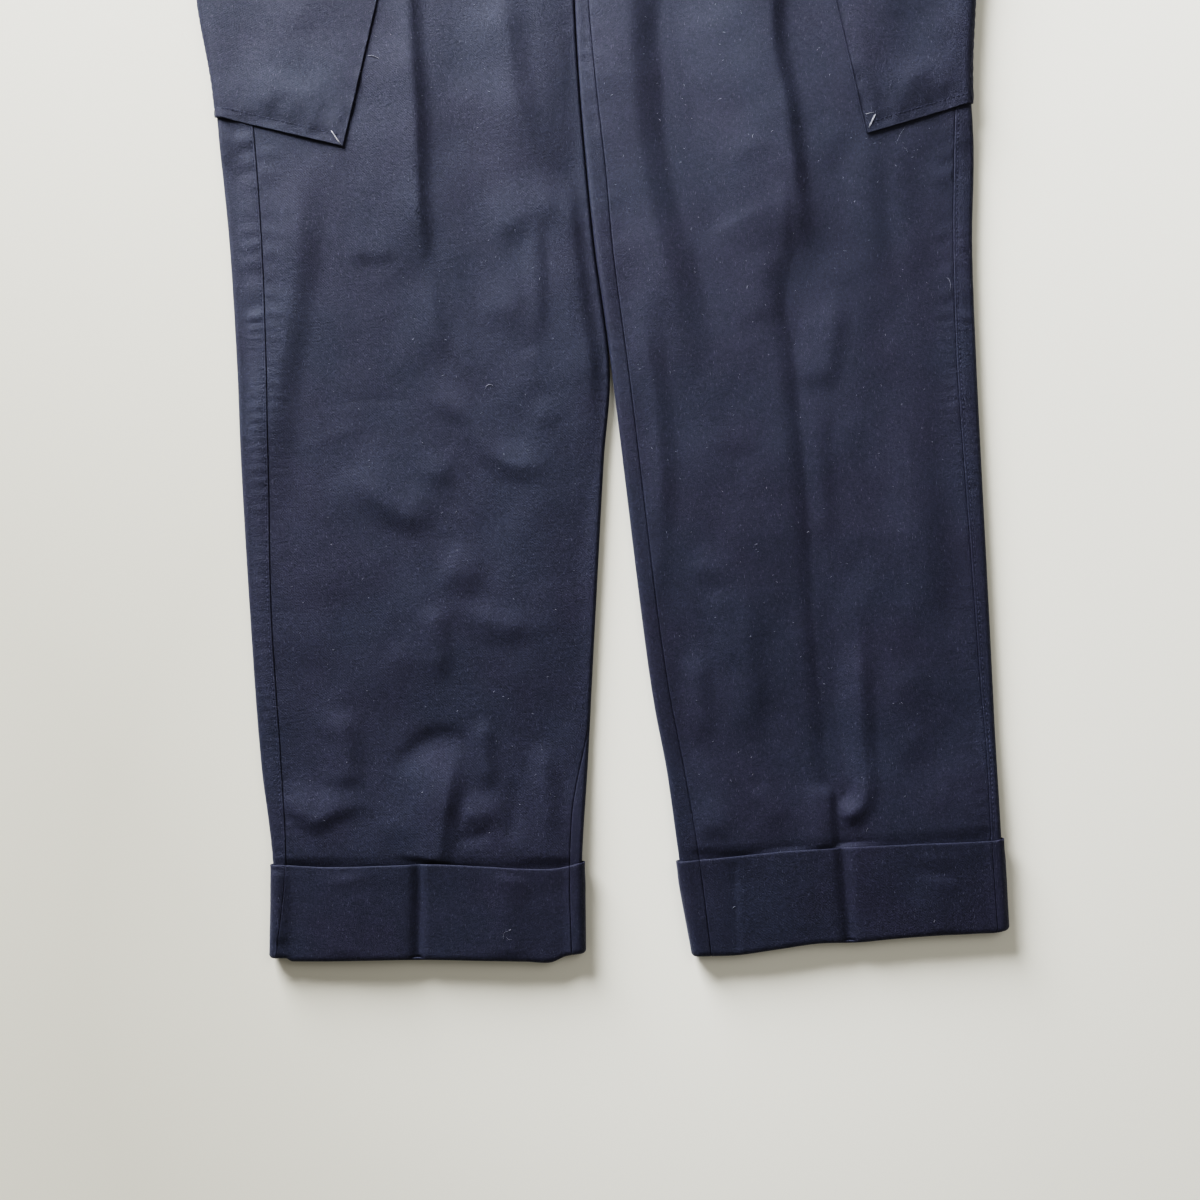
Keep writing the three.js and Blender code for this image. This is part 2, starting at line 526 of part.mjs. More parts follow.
// The waistband is one strip round the waist. It starts under the left end at the centre front, and
// its own left end lies over the start.
function bandPath() {
  const centre = meeting(WAIST_SEAM);
  const radius = WAISTBAND_WOOL / 2 + LAYER_GAP;
  const low = WAISTBAND_WOOL / 2;
  const high = low + 2 * radius;
  const right = rightLeg.outerFold(WAIST_SEAM) + radius + WOOL / 2;
  const left = leftLeg.outerFold(WAIST_SEAM) - radius - WOOL / 2;
  const start = centre + BAND_UNDERLAP;
  const end = centre - FLY_LAP;
  const step = WAISTBAND_WOOL + LAYER_GAP;
  const top = (x, lift) => ({ x, z: high + lift, nx: 0, nz: 1 });
  const floor = (x) => ({ x, z: low, nx: 0, nz: -1 });
  const fold = (x, side, turned) => {
    const nx = side * Math.sin(turned);
    const nz = side < 0 ? Math.cos(turned) : -Math.cos(turned);
    return { x: x + radius * nx, z: low + radius + radius * nz, nx, nz };
  };
  const quarters = [1, 2, 3].map((k) => (k * Math.PI) / 4);
  const even = [0, 0.25, 0.5, 0.75, 1];
  return [
    ...even.map((share) => top(lerp(start, right, share), 0)),
    ...quarters.map((turned) => fold(right, -1, turned)),
    ...even.map((share) => floor(lerp(right, left, share))),
    ...quarters.map((turned) => fold(left, 1, turned)),
    ...even.map((share) => top(lerp(left, start + BAND_STEP, share), 0)),
    top(start + BAND_STEP / 2, step / 2),
    top(start + 1, step),
    top(end, step),
  ];
}

function waistband() {
  const bottom = WAIST_SEAM + SEAM_GAP;
  const half = WAISTBAND_WOOL / 2;
  const sections = bandPath().map((point) => {
    const corner = (y, out) =>
      new THREE.Vector3(point.x + point.nx * out, y, point.z + point.nz * out);
    return [
      corner(bottom, half),
      corner(bottom, -half),
      corner(WAISTBAND_TOP, -half),
      corner(WAISTBAND_TOP, half),
    ];
  });
  return loft(sections, true);
}

// A four-hole button, sewn on the waistband's left end
function waistButton() {
  const circle = (x, y, radius, count) => Array.from({ length: count }, (_, i) => {
    const angle = (2 * Math.PI * i) / count;
    return new THREE.Vector2(x + radius * Math.cos(angle), y + radius * Math.sin(angle));
  });
  const face = new THREE.Shape(circle(0, 0, BUTTON.radius - BUTTON.bevel, BUTTON_SIDES.rim));
  const from = BUTTON.holeSpacing;
  for (const [x, y] of [[-from, -from], [from, -from], [from, from], [-from, from]]) {
    const hole = circle(x, y, BUTTON.hole + BUTTON.bevel, BUTTON_SIDES.hole);
    face.holes.push(new THREE.Path(hole));
  }
  return new THREE.ExtrudeGeometry(face, {
    depth: BUTTON.thickness - 2 * BUTTON.bevel,
    bevelSize: BUTTON.bevel,
    bevelThickness: BUTTON.bevel,
    bevelSegments: 2,
  });
}

const navyWool = new THREE.MeshStandardMaterial({ color: 0x2a2d3d, roughness: 0.95, metalness: 0 });
const horn = new THREE.MeshStandardMaterial({ color: 0x1b1a1c, roughness: 0.4, metalness: 0 });

const trousers = new THREE.Group();
trousers.position.set(-MIDDLE_X, -MIDDLE_Y, 0);

function add(name, geometry, material = navyWool) {
  const mesh = new THREE.Mesh(geometry, material.clone());
  mesh.name = name;
  trousers.add(mesh);
  return mesh;
}

for (const [name, leg] of [['right', rightLeg], ['left', leftLeg]]) {
  add(`front_${name}`, panel(leg, frontPath, leg.side < 0));
  add(`back_${name}`, panel(leg, backPath, leg.side > 0));
  add(`cargo_pocket_${name}`, cargoPocket(leg));
  add(`pocket_bellows_${name}`, pocketBellows(leg));
  add(`pocket_flap_${name}`, pocketFlap(leg));
}
add('waistband', waistband());

const button = add('waist_button', waistButton(), horn);
const bandTop = 3 * (WAISTBAND_WOOL + LAYER_GAP);
button.position.set(
  meeting(WAIST_SEAM) + BUTTON_INSET,
  (WAIST_SEAM + WAISTBAND_TOP) / 2,
  bandTop + LAYER_GAP + BUTTON.bevel,
);

const model = new THREE.Group();
model.add(trousers);

export default model;
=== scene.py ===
import math

import bpy
import numpy as np
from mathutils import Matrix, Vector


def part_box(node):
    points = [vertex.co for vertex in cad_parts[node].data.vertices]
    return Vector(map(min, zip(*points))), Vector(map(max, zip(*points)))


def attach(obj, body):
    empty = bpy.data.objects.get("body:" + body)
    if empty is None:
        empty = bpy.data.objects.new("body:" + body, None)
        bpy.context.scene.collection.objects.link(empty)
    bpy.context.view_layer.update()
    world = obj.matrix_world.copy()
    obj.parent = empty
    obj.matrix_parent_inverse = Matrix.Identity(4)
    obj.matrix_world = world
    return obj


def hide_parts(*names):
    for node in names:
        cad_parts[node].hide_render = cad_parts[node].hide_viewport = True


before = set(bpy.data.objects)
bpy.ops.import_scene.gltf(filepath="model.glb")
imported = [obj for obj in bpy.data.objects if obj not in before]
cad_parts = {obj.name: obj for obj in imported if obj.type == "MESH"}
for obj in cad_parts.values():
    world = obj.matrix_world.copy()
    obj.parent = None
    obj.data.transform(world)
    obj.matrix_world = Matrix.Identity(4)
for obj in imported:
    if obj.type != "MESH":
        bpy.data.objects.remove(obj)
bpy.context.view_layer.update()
print("frame loaded:", len(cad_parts), "nodes")

# Sizes are in millimetres. x runs towards the wearer's left from the middle of the view, and y up from
# the fold at the bottom of the right leg. The frame's origin lies at this place in them.
mm = 0.001
origin = np.array([-1.3, 503.0, 0.0])

# The camera: as high as its lens needs to see the view's width
view = dict(x=0.0, y=241.2, width=804.0, lens=50.0, sensor=36.0, exposure=-0.85)
cameraData = bpy.data.cameras.new("camera")
cameraData.lens = view["lens"]
cameraData.sensor_width = view["sensor"]
camera = bpy.data.objects.new("camera", cameraData)
height = view["width"] * view["lens"] / view["sensor"]
camera.location = [(view["x"] - origin[0]) * mm, (view["y"] - origin[1]) * mm, height * mm]
bpy.context.scene.collection.objects.link(camera)
bpy.context.scene.camera = camera
bpy.context.scene.view_settings.view_transform = "Filmic"
bpy.context.scene.view_settings.look = "High Contrast"
bpy.context.scene.view_settings.exposure = view["exposure"]
print("camera placed straight above")


# 0 below low, 1 above high, and 3t^2 - 2t^3 between
def smooth(value, low, high):
    t = np.clip((value - low) / (high - low), 0, 1)
    return t * t * (3 - 2 * t)


# 1 below low, 0 above high
def fade(value, low, high):
    return 1 - smooth(value, low, high)


# 0, up to 1 from low to lowTo, and down to 0 again from highFrom to high
def within(value, low, lowTo, highFrom, high):
    return smooth(value, low, lowTo) * fade(value, highFrom, high)


# a at share 0, b at share 1, and on a straight line between
def mix(a, b, share):
    return a + (b - a) * share


# A bell of the distance: e to the minus square of its share of the width
def bell(distance, width):
    return np.exp(-(distance / width) ** 2)


# Values of one shape, one above the other: x, z and the two parts of the normal along a path
def together(*values):
    return np.stack(np.broadcast_arrays(*values))


# A smooth curve through a table's rows: a cubic between each two, and its slope at a row is the slope
# from the row before it to the row after it
def curve(at, values):
    at, values = np.array(at, float), np.array(values, float)
    index = np.arange(len(at))
    before, after = np.maximum(index - 1, 0), np.minimum(index + 1, len(at) - 1)
    slope = (values[after] - values[before]) / (at[after] - at[before])

    def value(y):
        i = np.clip(np.searchsorted(at, y, side="right") - 1, 0, len(at) - 2)
        span = at[i + 1] - at[i]
        t = np.clip((y - at[i]) / span, 0, 1)
        ends = mix(values[i], values[i + 1], t * t * (3 - 2 * t))
        return ends + span * t * (1 - t) * ((1 - t) * slope[i] - t * slope[i + 1])
    return value


# Soft unevenness from -1 to 1: random values on a square lattice, eased from point to point both ways
def softNoise(x, y, step, seed, size=71):
    lattice = np.random.default_rng(seed).uniform(-1, 1, (size, size))
    column, row = np.floor(x / step), np.floor(y / step)
    tx, ty = smooth(x / step - column, 0, 1), smooth(y / step - row, 0, 1)
    i, j = column.astype(int), row.astype(int)
    i, nextI, j, nextJ = i % size, (i + 1) % size, j % size, (j + 1) % size
    low = mix(lattice[i, j], lattice[nextI, j], tx)
    return mix(low, mix(lattice[i, nextJ], lattice[nextI, nextJ], tx), ty)


trousers = dict(
    crotch=720.0, flyEnd=800.0, waistSeam=966.0, bandTop=1006.0, turnUp=65.0,
    cloth=1.4, turnUpCloth=2.0, hemCloth=1.6, bandCloth=2.6,
    seamGap=0.06, layerGap=0.3, legGap=0.1,
    slack=2.5, deepest=2.3, turnUpStep=2.4, cuffDip=1.0, rimShare=0.42,
    outerRadius=2.3, hemRadius=1.8, edgeFade=26.0, reliefFade=11.0, hemFade=85.0, pressedAbove=0.25,
    edgeThin=0.62, edgeRound=0.5,
    flyLap=8.0, flyFade=24.0, riseBlend=22.0, legsMeet=(396, 440), pressed=(440, 560), pressedShare=0.66,
)
halfCloth = trousers["cloth"] / 2
# The line on which the two legs lie together: its x by its y
meeting = curve(
    [380, 412, 442, 475, 527, 586, 643, 720, 800, 966],
    [9.5, 5.6, 1.3, -3.4, -8.8, -13.8, -17, -20, -13, -8],
)
# Each leg by its rows up the leg: how much its sections tilt, and the x of its folds and seams on them
rightTable = dict(
    name="right", side=-1, hem=0.0, seamRound=(95, 175), innerRadius=1.9, cornerX=-171.0, cornerY=543.0,
    pocketInward=0.0, pocketRise=0.0, pocketRim=0.0, upperFade=30.0, smallLint=(160, 1.0),
    sideDip=0.18, sidePucker=0.43,
    y=[0, 66, 134, 235, 335, 395, 475, 535, 586, 643, 720, 800, 880, 966],
    rise=[0] * 14,
    outerFold=[-217.8, -217.8, -226.5, -234, -239.9, -242.3, -247.2, -253, -258, -267.8, -271.5, -269,
               -257, -226],
    sideSeam=[-215.0, -209.2, -212.7, -219.2, -221.1, -222, -225, -229, -234, -241, -247, -246, -236, -207],
    insideSeam=[-18.5, -19.9, -16.4, -11.4, -6.4, -2, -11, -17, -21, -24.5, -28, -20, -17, -14],
    innerFold=[-12, -12, -8, -2.7, 2.7, 6.6, -4, -10, -14.3, -17.5, -20.5, -13.5, -11, -8.5],
)
leftTable = dict(
    name="left", side=1, hem=13.0, seamRound=(660, 716), innerRadius=2.5, cornerX=179.5, cornerY=553.0,
    pocketInward=2.6, pocketRise=0.06, pocketRim=0.42, upperFade=110.0, smallLint=(280, 0.75),
    sideDip=0.14, sidePucker=0.2,
    y=[13, 72, 134, 180, 235, 335, 395, 475, 535, 586, 643, 720, 800, 880, 966],
    rise=[0.075, 0.073, 0.065, 0.06, 0.055, 0.045, 0.038, 0.03, 0.022, 0.016, 0.01, 0, 0, 0, 0],
    outerFold=[270.3, 267.3, 264, 261.9, 259.3, 254.3, 251.4, 248.6, 249.6, 247.2, 249.4, 252, 250.5,
               241, 210],
    sideSeam=[264.5, 260.6, 257.6, 253.6, 249.6, 242.2, 238, 235.6, 236, 236.8, 238, 237, 232, 222, 192],
    insideSeam=[74, 66.7, 56.3, 47.2, 38.9, 26.8, 19.5, 9, 3.4, -2.5, -7.7, -12.5, -6, -4, -2],
    innerFold=[64, 53.5, 44.6, 35.8, 28, 15.7, 8.3, -2.6, -9, -13.4, -16.5, -19.5, -12.5, -10, -7.5],
)
# A pocket, with its front edge turned from the leg's direction by an angle whose cosine and sine are here
pocket = dict(
    width=185.0, height=200.0, cos=math.cos(0.23), sin=math.sin(0.23), standOff=0.65, rest=-0.06,
    thinEdge=0.3, thin=0.6, edge=18.0, fade=22.0, runIn=16.0, bottomStitch=7.0,
    rows=88, columns=92, stitchSink=0.3, stitchWidth=1.1,
    bottomSink=0.85, bottomSunk=(10, 75), frontSink=0.8, frontSunk=(20, 110),
    liftMargin=4.0, liftFade=30.0, liftEarly=150.0, patchUnder=(-23, 7), flapUnder=(80, 165),
    liftEnd=(256, 290), riseAbove=120.0, riseFrom=30.0, riseTo=110.0,
    flapOverhang=2.0, flapGap=0.8, flapDrop=52.0, flapRise=11.0, flapStitch=6.0,
    flapRows=24, flapColumns=34, flapSink=0.35, flapFall=0.9,
)

# A fold: a smooth curve through its points, and its height, negative for a trough. The two widths are
# those on its right and on its left, walking along it. It eases in and out over its ends' shares.
def fold(at, width, height, sharp=0.2, ends=(0.3, 0.3)):
    return dict(at=at, width=width, height=height, sharp=sharp, ends=ends)


rightFolds = [
    fold([(-128, 720), (-127, 640), (-125, 600), (-122.5, 560), (-121.5, 520), (-119, 480), (-115, 448)],
         (50, 11), 3.1, 0.8, (0.05, 0.3)),
    fold([(-116, 470), (-112, 440), (-108, 420), (-104, 396)], (20, 10), 1.0, 0.3),
    fold([(-200, 540), (-200, 480), (-207, 430), (-214, 390), (-217, 350), (-218, 290)], (30, 18), 2.2, 0.2,
         (0.2, 0.35)),
    fold([(-170, 472), (-152, 473), (-134, 473)], (11, 24), 0.8),
    fold([(-156, 452), (-144, 453), (-130, 452)], (8, 14), 0.19, 0.2, (0.45, 0.45)),
    fold([(-66, 665), (-61, 610), (-56, 576), (-46, 548), (-33, 518)], (38, 18), 2.7, 0.4, (0.2, 0.5)),
    fold([(-76, 482), (-60, 492), (-44, 500), (-26, 509)], (18, 30), 1.3, 0.3, (0.35, 0.2)),
    fold([(-44, 500), (-42, 460), (-40, 410)], (12, 9), 1.3),
    fold([(-84, 432), (-66, 436), (-46, 431)], (18, 34), 0.95, 0.2, (0.4, 0.4)),
    fold([(-144, 405), (-130, 403), (-114, 396)], (22, 31), 0.53, 0, (0.45, 0.45)),
    fold([(-182, 374), (-150, 375), (-118, 374)], (10, 8), -0.3, 0.7, (0.45, 0.45)),
    fold([(-214, 337), (-190, 346), (-165, 354), (-138, 360)], (7, 8), 0.21, 1, (0.45, 0.45)),
    fold([(-124, 379), (-104, 373), (-90, 364), (-81, 350), (-72, 338), (-58, 331), (-44, 330), (-31, 335)],
         (14, 18), 1.45, 0.35, (0.3, 0.25)),
    fold([(-48, 366), (-35, 365), (-24, 360)], (13, 19), 0.57, 0.2, (0.45, 0.45)),
    fold([(-50, 410), (-44, 395), (-40, 376)], (16, 14), 0.5),
    fold([(-122, 322), (-108, 326), (-94, 322)], (14, 19), 0.9, 0.2, (0.45, 0.45)),
    fold([(-168, 334), (-152, 314), (-139, 302), (-124, 296), (-108, 291)], (16, 28), 1.7, 0.35, (0.3, 0.3)),
    fold([(-110, 263), (-92, 259), (-74, 260)], (18, 28), 1.3, 0.2, (0.4, 0.4)),
    fold([(-194, 262), (-178, 252), (-160, 244)], (18, 41), 0.53, 0, (0.45, 0.45)),
    fold([(-86, 242), (-77, 229), (-65, 223), (-52, 225), (-40, 236)], (17, 16), 1.25, 0.3, (0.35, 0.35)),
    fold([(-42, 256), (-36, 236), (-32, 214)], (18, 16), 0.5),
    fold([(-142, 210), (-128, 204), (-112, 206)], (16, 31), 0.49, 0, (0.45, 0.45)),
    fold([(-112, 240), (-108, 215), (-106, 185)], (16, 12), 1.2, 0),
    fold([(-196, 172), (-178, 162), (-162, 160)], (18, 41), 0.57, 0, (0.45, 0.45)),
    fold([(-170, 172), (-168, 142), (-167, 114)], (28, 14), 1.7, 0.3, (0.3, 0.2)),
    fold([(-217, 108), (-202, 103), (-190, 94), (-178, 100), (-163, 104), (-146, 104)], (11, 26), 2.2, 0.4,
         (0.3, 0.4)),
    fold([(-130, 104), (-108, 112), (-88, 106)], (26, 36), 0.6, 0),
    fold([(-138, 122), (-130, 135), (-120, 145), (-107, 151), (-95, 149), (-85, 142)], (16, 10), -1.0, 0.3,
         (0.3, 0.3)),
    fold([(-96, 146), (-99, 125), (-103, 100), (-105, 85), (-108, 66)], (38, 13), 3.5, 0.75, (0.5, 0.02)),
    fold([(-94, 98), (-80, 98), (-62, 103)], (12, 18), 1.5, 0.3, (0.3, 0.4)),
    fold([(-98, 84), (-84, 83), (-70, 88)], (9, 6), -0.9),
    fold([(-24, 530), (-19, 480), (-14, 440), (-9, 400), (-7, 360)], (28, 16), 2.4, 0.2, (0.2, 0.3)),
    fold([(-78, 165), (-76, 138), (-72, 112)], (15, 10), 1.6, 0.3),
    fold([(-60, 124), (-57, 100), (-60, 76)], (9, 11), -0.9),
    fold([(-40, 150), (-36, 115), (-32, 78)], (12, 12), 1.6),
    fold([(-152, 86), (-136, 88), (-118, 82)], (14, 24), 0.68, 0.2, (0.45, 0.45)),
]
leftFolds = [
    fold([(114, 720), (114, 650), (115, 612), (118, 596), (123, 576), (126, 552), (129, 528), (132, 495),
          (136, 450)], (74, 12), 3.1, 0.6, (0.05, 0.28)),
    fold([(121.5, 525), (123, 490), (125, 450)], (12, 7), 0.6, 0.8),
    fold([(108, 475), (108, 448), (112, 424)], (24, 14), 0.8),
    fold([(121, 500), (125, 455), (130, 400), (133, 365), (136, 335), (139, 300), (142, 268), (145, 235),
          (147, 205), (150, 170), (153, 140), (156, 112), (160, 68), (163, 38)], (14, 50), -2.3, 0.7,
         (0.12, 0.02)),
    fold([(18, 720), (19, 640), (21, 598), (24, 555), (31, 512), (41, 475), (50, 445), (59, 418), (68, 388)],
         (30, 26), 1.8, 0.35, (0.05, 0.3)),
    fold([(42, 720), (43, 640), (44, 598), (48, 555), (55, 512), (63, 475), (69, 445), (75, 418), (82, 388)],
         (24, 66), -2.4, 0.3, (0.05, 0.3)),
    fold([(25, 455), (30, 420), (35, 390), (38, 360), (40, 330), (41, 300), (41, 235)],
         (14, 14), 1.7, 0.3, (0.25, 0.25)),
    fold([(72, 574), (92, 580), (114, 598)], (16, 34), 0.35, 0.3, (0.4, 0.3)),
    fold([(66, 478), (84, 488), (100, 498), (116, 506)], (24, 9), 0.45, 0.6, (0.4, 0.4)),
    fold([(76, 528), (96, 540), (114, 550)], (12, 14), 0.4, 0.2, (0.4, 0.4)),
    fold([(56, 343), (88, 346), (120, 342)], (8, 12), 0.22, 0.2, (0.4, 0.4)),
    fold([(157, 450), (156, 422), (152, 397), (149, 378)], (36, 12), 1.1, 0.4),
    fold([(146, 378), (146, 340), (149, 300), (151, 272)], (30, 12), 1.0),
    fold([(196, 365), (206, 322), (214, 287), (222, 255), (224, 215)], (26, 24), 1.9, 0.1, (0.35, 0.35)),
    fold([(204, 205), (206, 165), (212, 128)], (24, 20), 1.1, 0.1),
    fold([(172, 262), (173, 220), (174, 185), (175, 150), (177, 124), (176, 108), (170, 100), (161, 96)],
         (18, 12), 2.0, 0.45, (0.35, 0.08)),
    fold([(178, 130), (176.5, 110), (170, 100), (161, 95)], (9, 10), 0.7, 0.4, (0.3, 0.2)),
    fold([(154, 114), (163, 114), (173, 117)], (14, 9), -0.6),
    fold([(157, 96), (165, 98), (173, 104)], (9, 13), 0.8, 0.3),
    fold([(153, 120), (153.5, 95), (155, 72)], (26, 6), 1.8, 0.4, (0.2, 0)),
    fold([(60, 264), (72, 260), (86, 247)], (12, 20), 0.8, 0.4, (0.4, 0.4)),
    fold([(96, 265), (97, 225), (100, 185), (103, 140)], (16, 14), 0.95),
    fold([(80, 255), (83, 225), (86, 192)], (12, 12), 0.8),
    fold([(64, 210), (66, 175), (70, 140)], (14, 12), 1.3),
    fold([(62, 89), (76, 90), (94, 86)], (10, 24), 1.2, 0.2, (0.45, 0.5)),
    fold([(104, 120), (112, 105), (124, 92)], (14, 12), 0.72),
    fold([(222, 112), (238, 110)], (12, 24), 0.49, 0.2, (0.45, 0.45)),
    fold([(180, 560), (178, 505), (184, 450)], (18, 16), 0.8, 0),
    fold([(200, 560), (204, 500), (212, 430)], (16, 16), 0.45, 0),
]
# The turn-ups' own folds. The front creases are troughs there, since the cloth is turned over.
rightCuffFolds = [
    fold([(-120, 66), (-120, 32), (-121, 0)], (8, 5), -2.6, 0.3, (0, 0)),
    fold([(-214, 62), (-213, 10)], (6, 11), 0.9, 0.2, (0.1, 0.1)),
    fold([(-60, 62), (-64, 30), (-62, 2)], (18, 20), 0.8, 0, (0.1, 0.1)),
    fold([(-168, 62), (-166, 30), (-170, 2)], (20, 18), 0.7, 0, (0.1, 0.1)),
]
leftCuffFolds = [
    fold([(161, 82), (163, 50), (166, 14)], (8, 8), -2.2, 0.3, (0, 0)),
    fold([(90, 72), (91, 40), (92, 6)], (14, 3), -0.8, 0.8, (0.1, 0.1)),
    fold([(205, 70), (222, 71), (242, 69)], (14, 8), 0.4),
    fold([(226, 60), (222, 40), (226, 18)], (18, 18), 0.7, 0, (0.1, 0.1)),
]
# How far the turn-ups' lower folds and upper edges lie above their straight lines, across each leg, and
# how far the leg sinks before the upper edge
rightCuffEdges = dict(
    low=curve([-222, -208, -205, -120, -80, -50, -33, -23, -11],
              [2.7, 2.7, 0.7, 1.8, 1.2, 0.7, 0, 4.2, 6.4]),
    high=curve([-220, -211, -181, -142, -111, -80, -50, -31, -19, -11],
               [0, 0, -1.3, -0.3, 0.7, -0.7, -2.4, -2.4, 0, 2.6]),
    dip=curve([-225, -190, -150, -115, -60, -42, -10], [1.3, 1.0, 0.4, 0.6, 0.4, 1.1, 1.3]),
)
leftCuffEdges = dict(
    low=curve([60, 91, 118, 145, 172, 198, 225, 252, 268, 275],
              [-1, -2.5, -0.6, 1.3, 0.1, 0.7, 0.7, 0, 0.4, 6]),
    high=curve([52, 80, 120, 157, 210, 262, 268, 274], [-3, -2.4, -1.2, -1.5, -2.6, -4, -2.4, 0]),
    dip=curve([55, 95, 120, 160, 200, 270], [1.0, 0.8, 0.3, 0.6, 0.4, 0.7]),
)


# A leg: its table, with a curve for each column
def makeLeg(table, folds, cuffFolds, cuffEdges):
    leg = dict(table, folds=folds, cuffFolds=cuffFolds, cuffEdges=cuffEdges)
    for column in ("rise", "outerFold", "sideSeam", "insideSeam", "innerFold"):
        leg[column] = curve(table["y"], table[column])
    return leg


rightLeg = makeLeg(rightTable, rightFolds, rightCuffFolds, rightCuffEdges)
leftLeg = makeLeg(leftTable, leftFolds, leftCuffFolds, leftCuffEdges)


# The height of one fold: its own height, times a bell of the distance from its curve over the width on
# that side, times an easing at both ends. A sharp bell has a ridge line, a soft one is round on top.
def foldHeight(crease, x, y, steps=10):
    points = np.array(crease["at"], float)
    at = np.linspace(0, 1, len(points))
    fine = np.linspace(0, 1, steps * (len(points) - 1) + 1)
    lineX, lineY = curve(at, points[:, 0])(fine), curve(at, points[:, 1])(fine)
    reach = max(crease["width"])
    near = (x > lineX.min() - reach) & (x < lineX.max() + reach)
    near &= (y > lineY.min() - reach) & (y < lineY.max() + reach)
    height = np.zeros(x.shape)
    if not near.any():
        return height
    fromX, fromY = x[near][:, None] - lineX[:-1], y[near][:, None] - lineY[:-1]
    stepX, stepY = np.diff(lineX), np.diff(lineY)
    along = np.clip((fromX * stepX + fromY * stepY) / (stepX ** 2 + stepY ** 2), 0, 1)
    offX, offY = fromX - along * stepX, fromY - along * stepY
    distance = np.hypot(offX, offY)
    nearest = distance.argmin(1)
    pick = (np.arange(len(nearest)), nearest)
    leftOf = stepX[nearest] * offY[pick] - stepY[nearest] * offX[pick] > 0
    share = (nearest + along[pick]) / (len(fine) - 1)
    s = np.clip(distance[pick] / np.where(leftOf, crease["width"][1], crease["width"][0]), 0, 1)
    section = (1 - s) ** 2 * (1 + 2 * s * (1 - crease["sharp"]))
    start, stop = crease["ends"]
    eased = within(share, 0, max(start, 0.001), 1 - max(stop, 0.001), 1)
    height[near] = crease["height"] * section * eased
    return height


# A leg's sections tilt about its middle: the y in the plan of the point at x on the section at y
def sectionY(leg, y, x):
    return y + leg["rise"](y) * (x - (leg["outerFold"](y) + leg["innerFold"](y)) / 2)


# The turn-up's upper edge
def turnUpEdge(leg):
    return leg["hem"] + trousers["turnUp"]


# 1 down to the hem from the turn-up's edge, fading to 0 above it
def inTurnUp(leg, y):
    edge = turnUpEdge(leg)
    return fade(y, edge, edge + trousers["hemFade"])


# Each fold's round is a little tighter at the turn-up
def outerRadius(leg, y):
    return mix(trousers["outerRadius"], trousers["hemRadius"], inTurnUp(leg, y))


# The legs' inner folds are pressed flatter below the crotch
def innerRadius(leg, y):
    radius = leg["innerRadius"] * mix(1, trousers["pressedShare"], smooth(y, *trousers["pressed"]))
    return mix(radius, trousers["hemRadius"], inTurnUp(leg, y))


# Where the flat layers end and each fold's round starts
def outerTangent(leg, y):
    return leg["outerFold"](y) - leg["side"] * (outerRadius(leg, y) + halfCloth)


# The inner folds go over to the meeting line, half a gap from it, where the legs lie together
def innerTangent(leg, y):
    own = leg["innerFold"](y)
    shared = meeting(sectionY(leg, y, own)) + leg["side"] * trousers["legGap"] / 2
    middle = mix(own, shared, smooth(y, *trousers["legsMeet"]))
    return middle + leg["side"] * (innerRadius(leg, y) + halfCloth)


# How far the pocket's rear edge lies under the leg, from the outer tangent
def pocketReach(leg, y):
    up = np.clip((y - leg["cornerY"] - pocket["sin"] * pocket["width"]) / pocket["cos"], 0, pocket["height"])
    flatX = leg["cornerX"] + leg["side"] * (pocket["cos"] * pocket["width"] - pocket["sin"] * up)
    turn = math.pi * trousers["outerRadius"]
    return leg["side"] * (flatX - outerTangent(leg, y)) - turn + pocket["flapOverhang"]


# How far the leg is lifted by the pocket and the flap that are wrapped round under it: a step for each,
# up the leg, faded out inwards and above. On the upper layer the first step starts lower down.
def pocketLift(leg, x, y, margin, early=0):
    up = y - leg["cornerY"]
    inward = np.abs(x - outerTangent(leg, y)) - pocketReach(leg, y) - margin
    start, stop = pocket["patchUnder"]
    patch = (trousers["cloth"] + trousers["layerGap"]) * smooth(up, start - early, stop + early / 4)
    flap = (trousers["cloth"] + pocket["flapGap"]) * smooth(up, *pocket["flapUnder"])
    reach = leg["upperFade"] if early > 0 else pocket["liftFade"]
    return (patch + flap) * fade(inward, 0, reach) * fade(up, *pocket["liftEnd"])


# Height of the middle of the layer that lies on the surface: half the cloth, and the turn-up's step
# where the leg lies on the turn-up, and the pocket's lift
def floorHeight(leg, x, y, margin=pocket["liftMargin"], early=0):
    step = trousers["turnUpStep"] + trousers["turnUpCloth"] / 2 - halfCloth
    return halfCloth + step * inTurnUp(leg, y) + pocketLift(leg, x, y, margin, early)


# Relief of the upper layer: the folds, and a soft unevenness of the cloth at three sizes, each with its
# height, the share of y that stretches it along the leg, its step and its seed
unevenness = [(0.9, 0.6, 44, 11), (0.35, 0.8, 19, 12), (0.04, 1, 6.5, 13)]


def relief(leg, x, y):
    page = sectionY(leg, y, x)
    total = sum(foldHeight(crease, x, page) for crease in leg["folds"])
    for height, stretch, step, seed in unevenness:
        total = total + height * softNoise(x, page * stretch, step, seed)
    return total


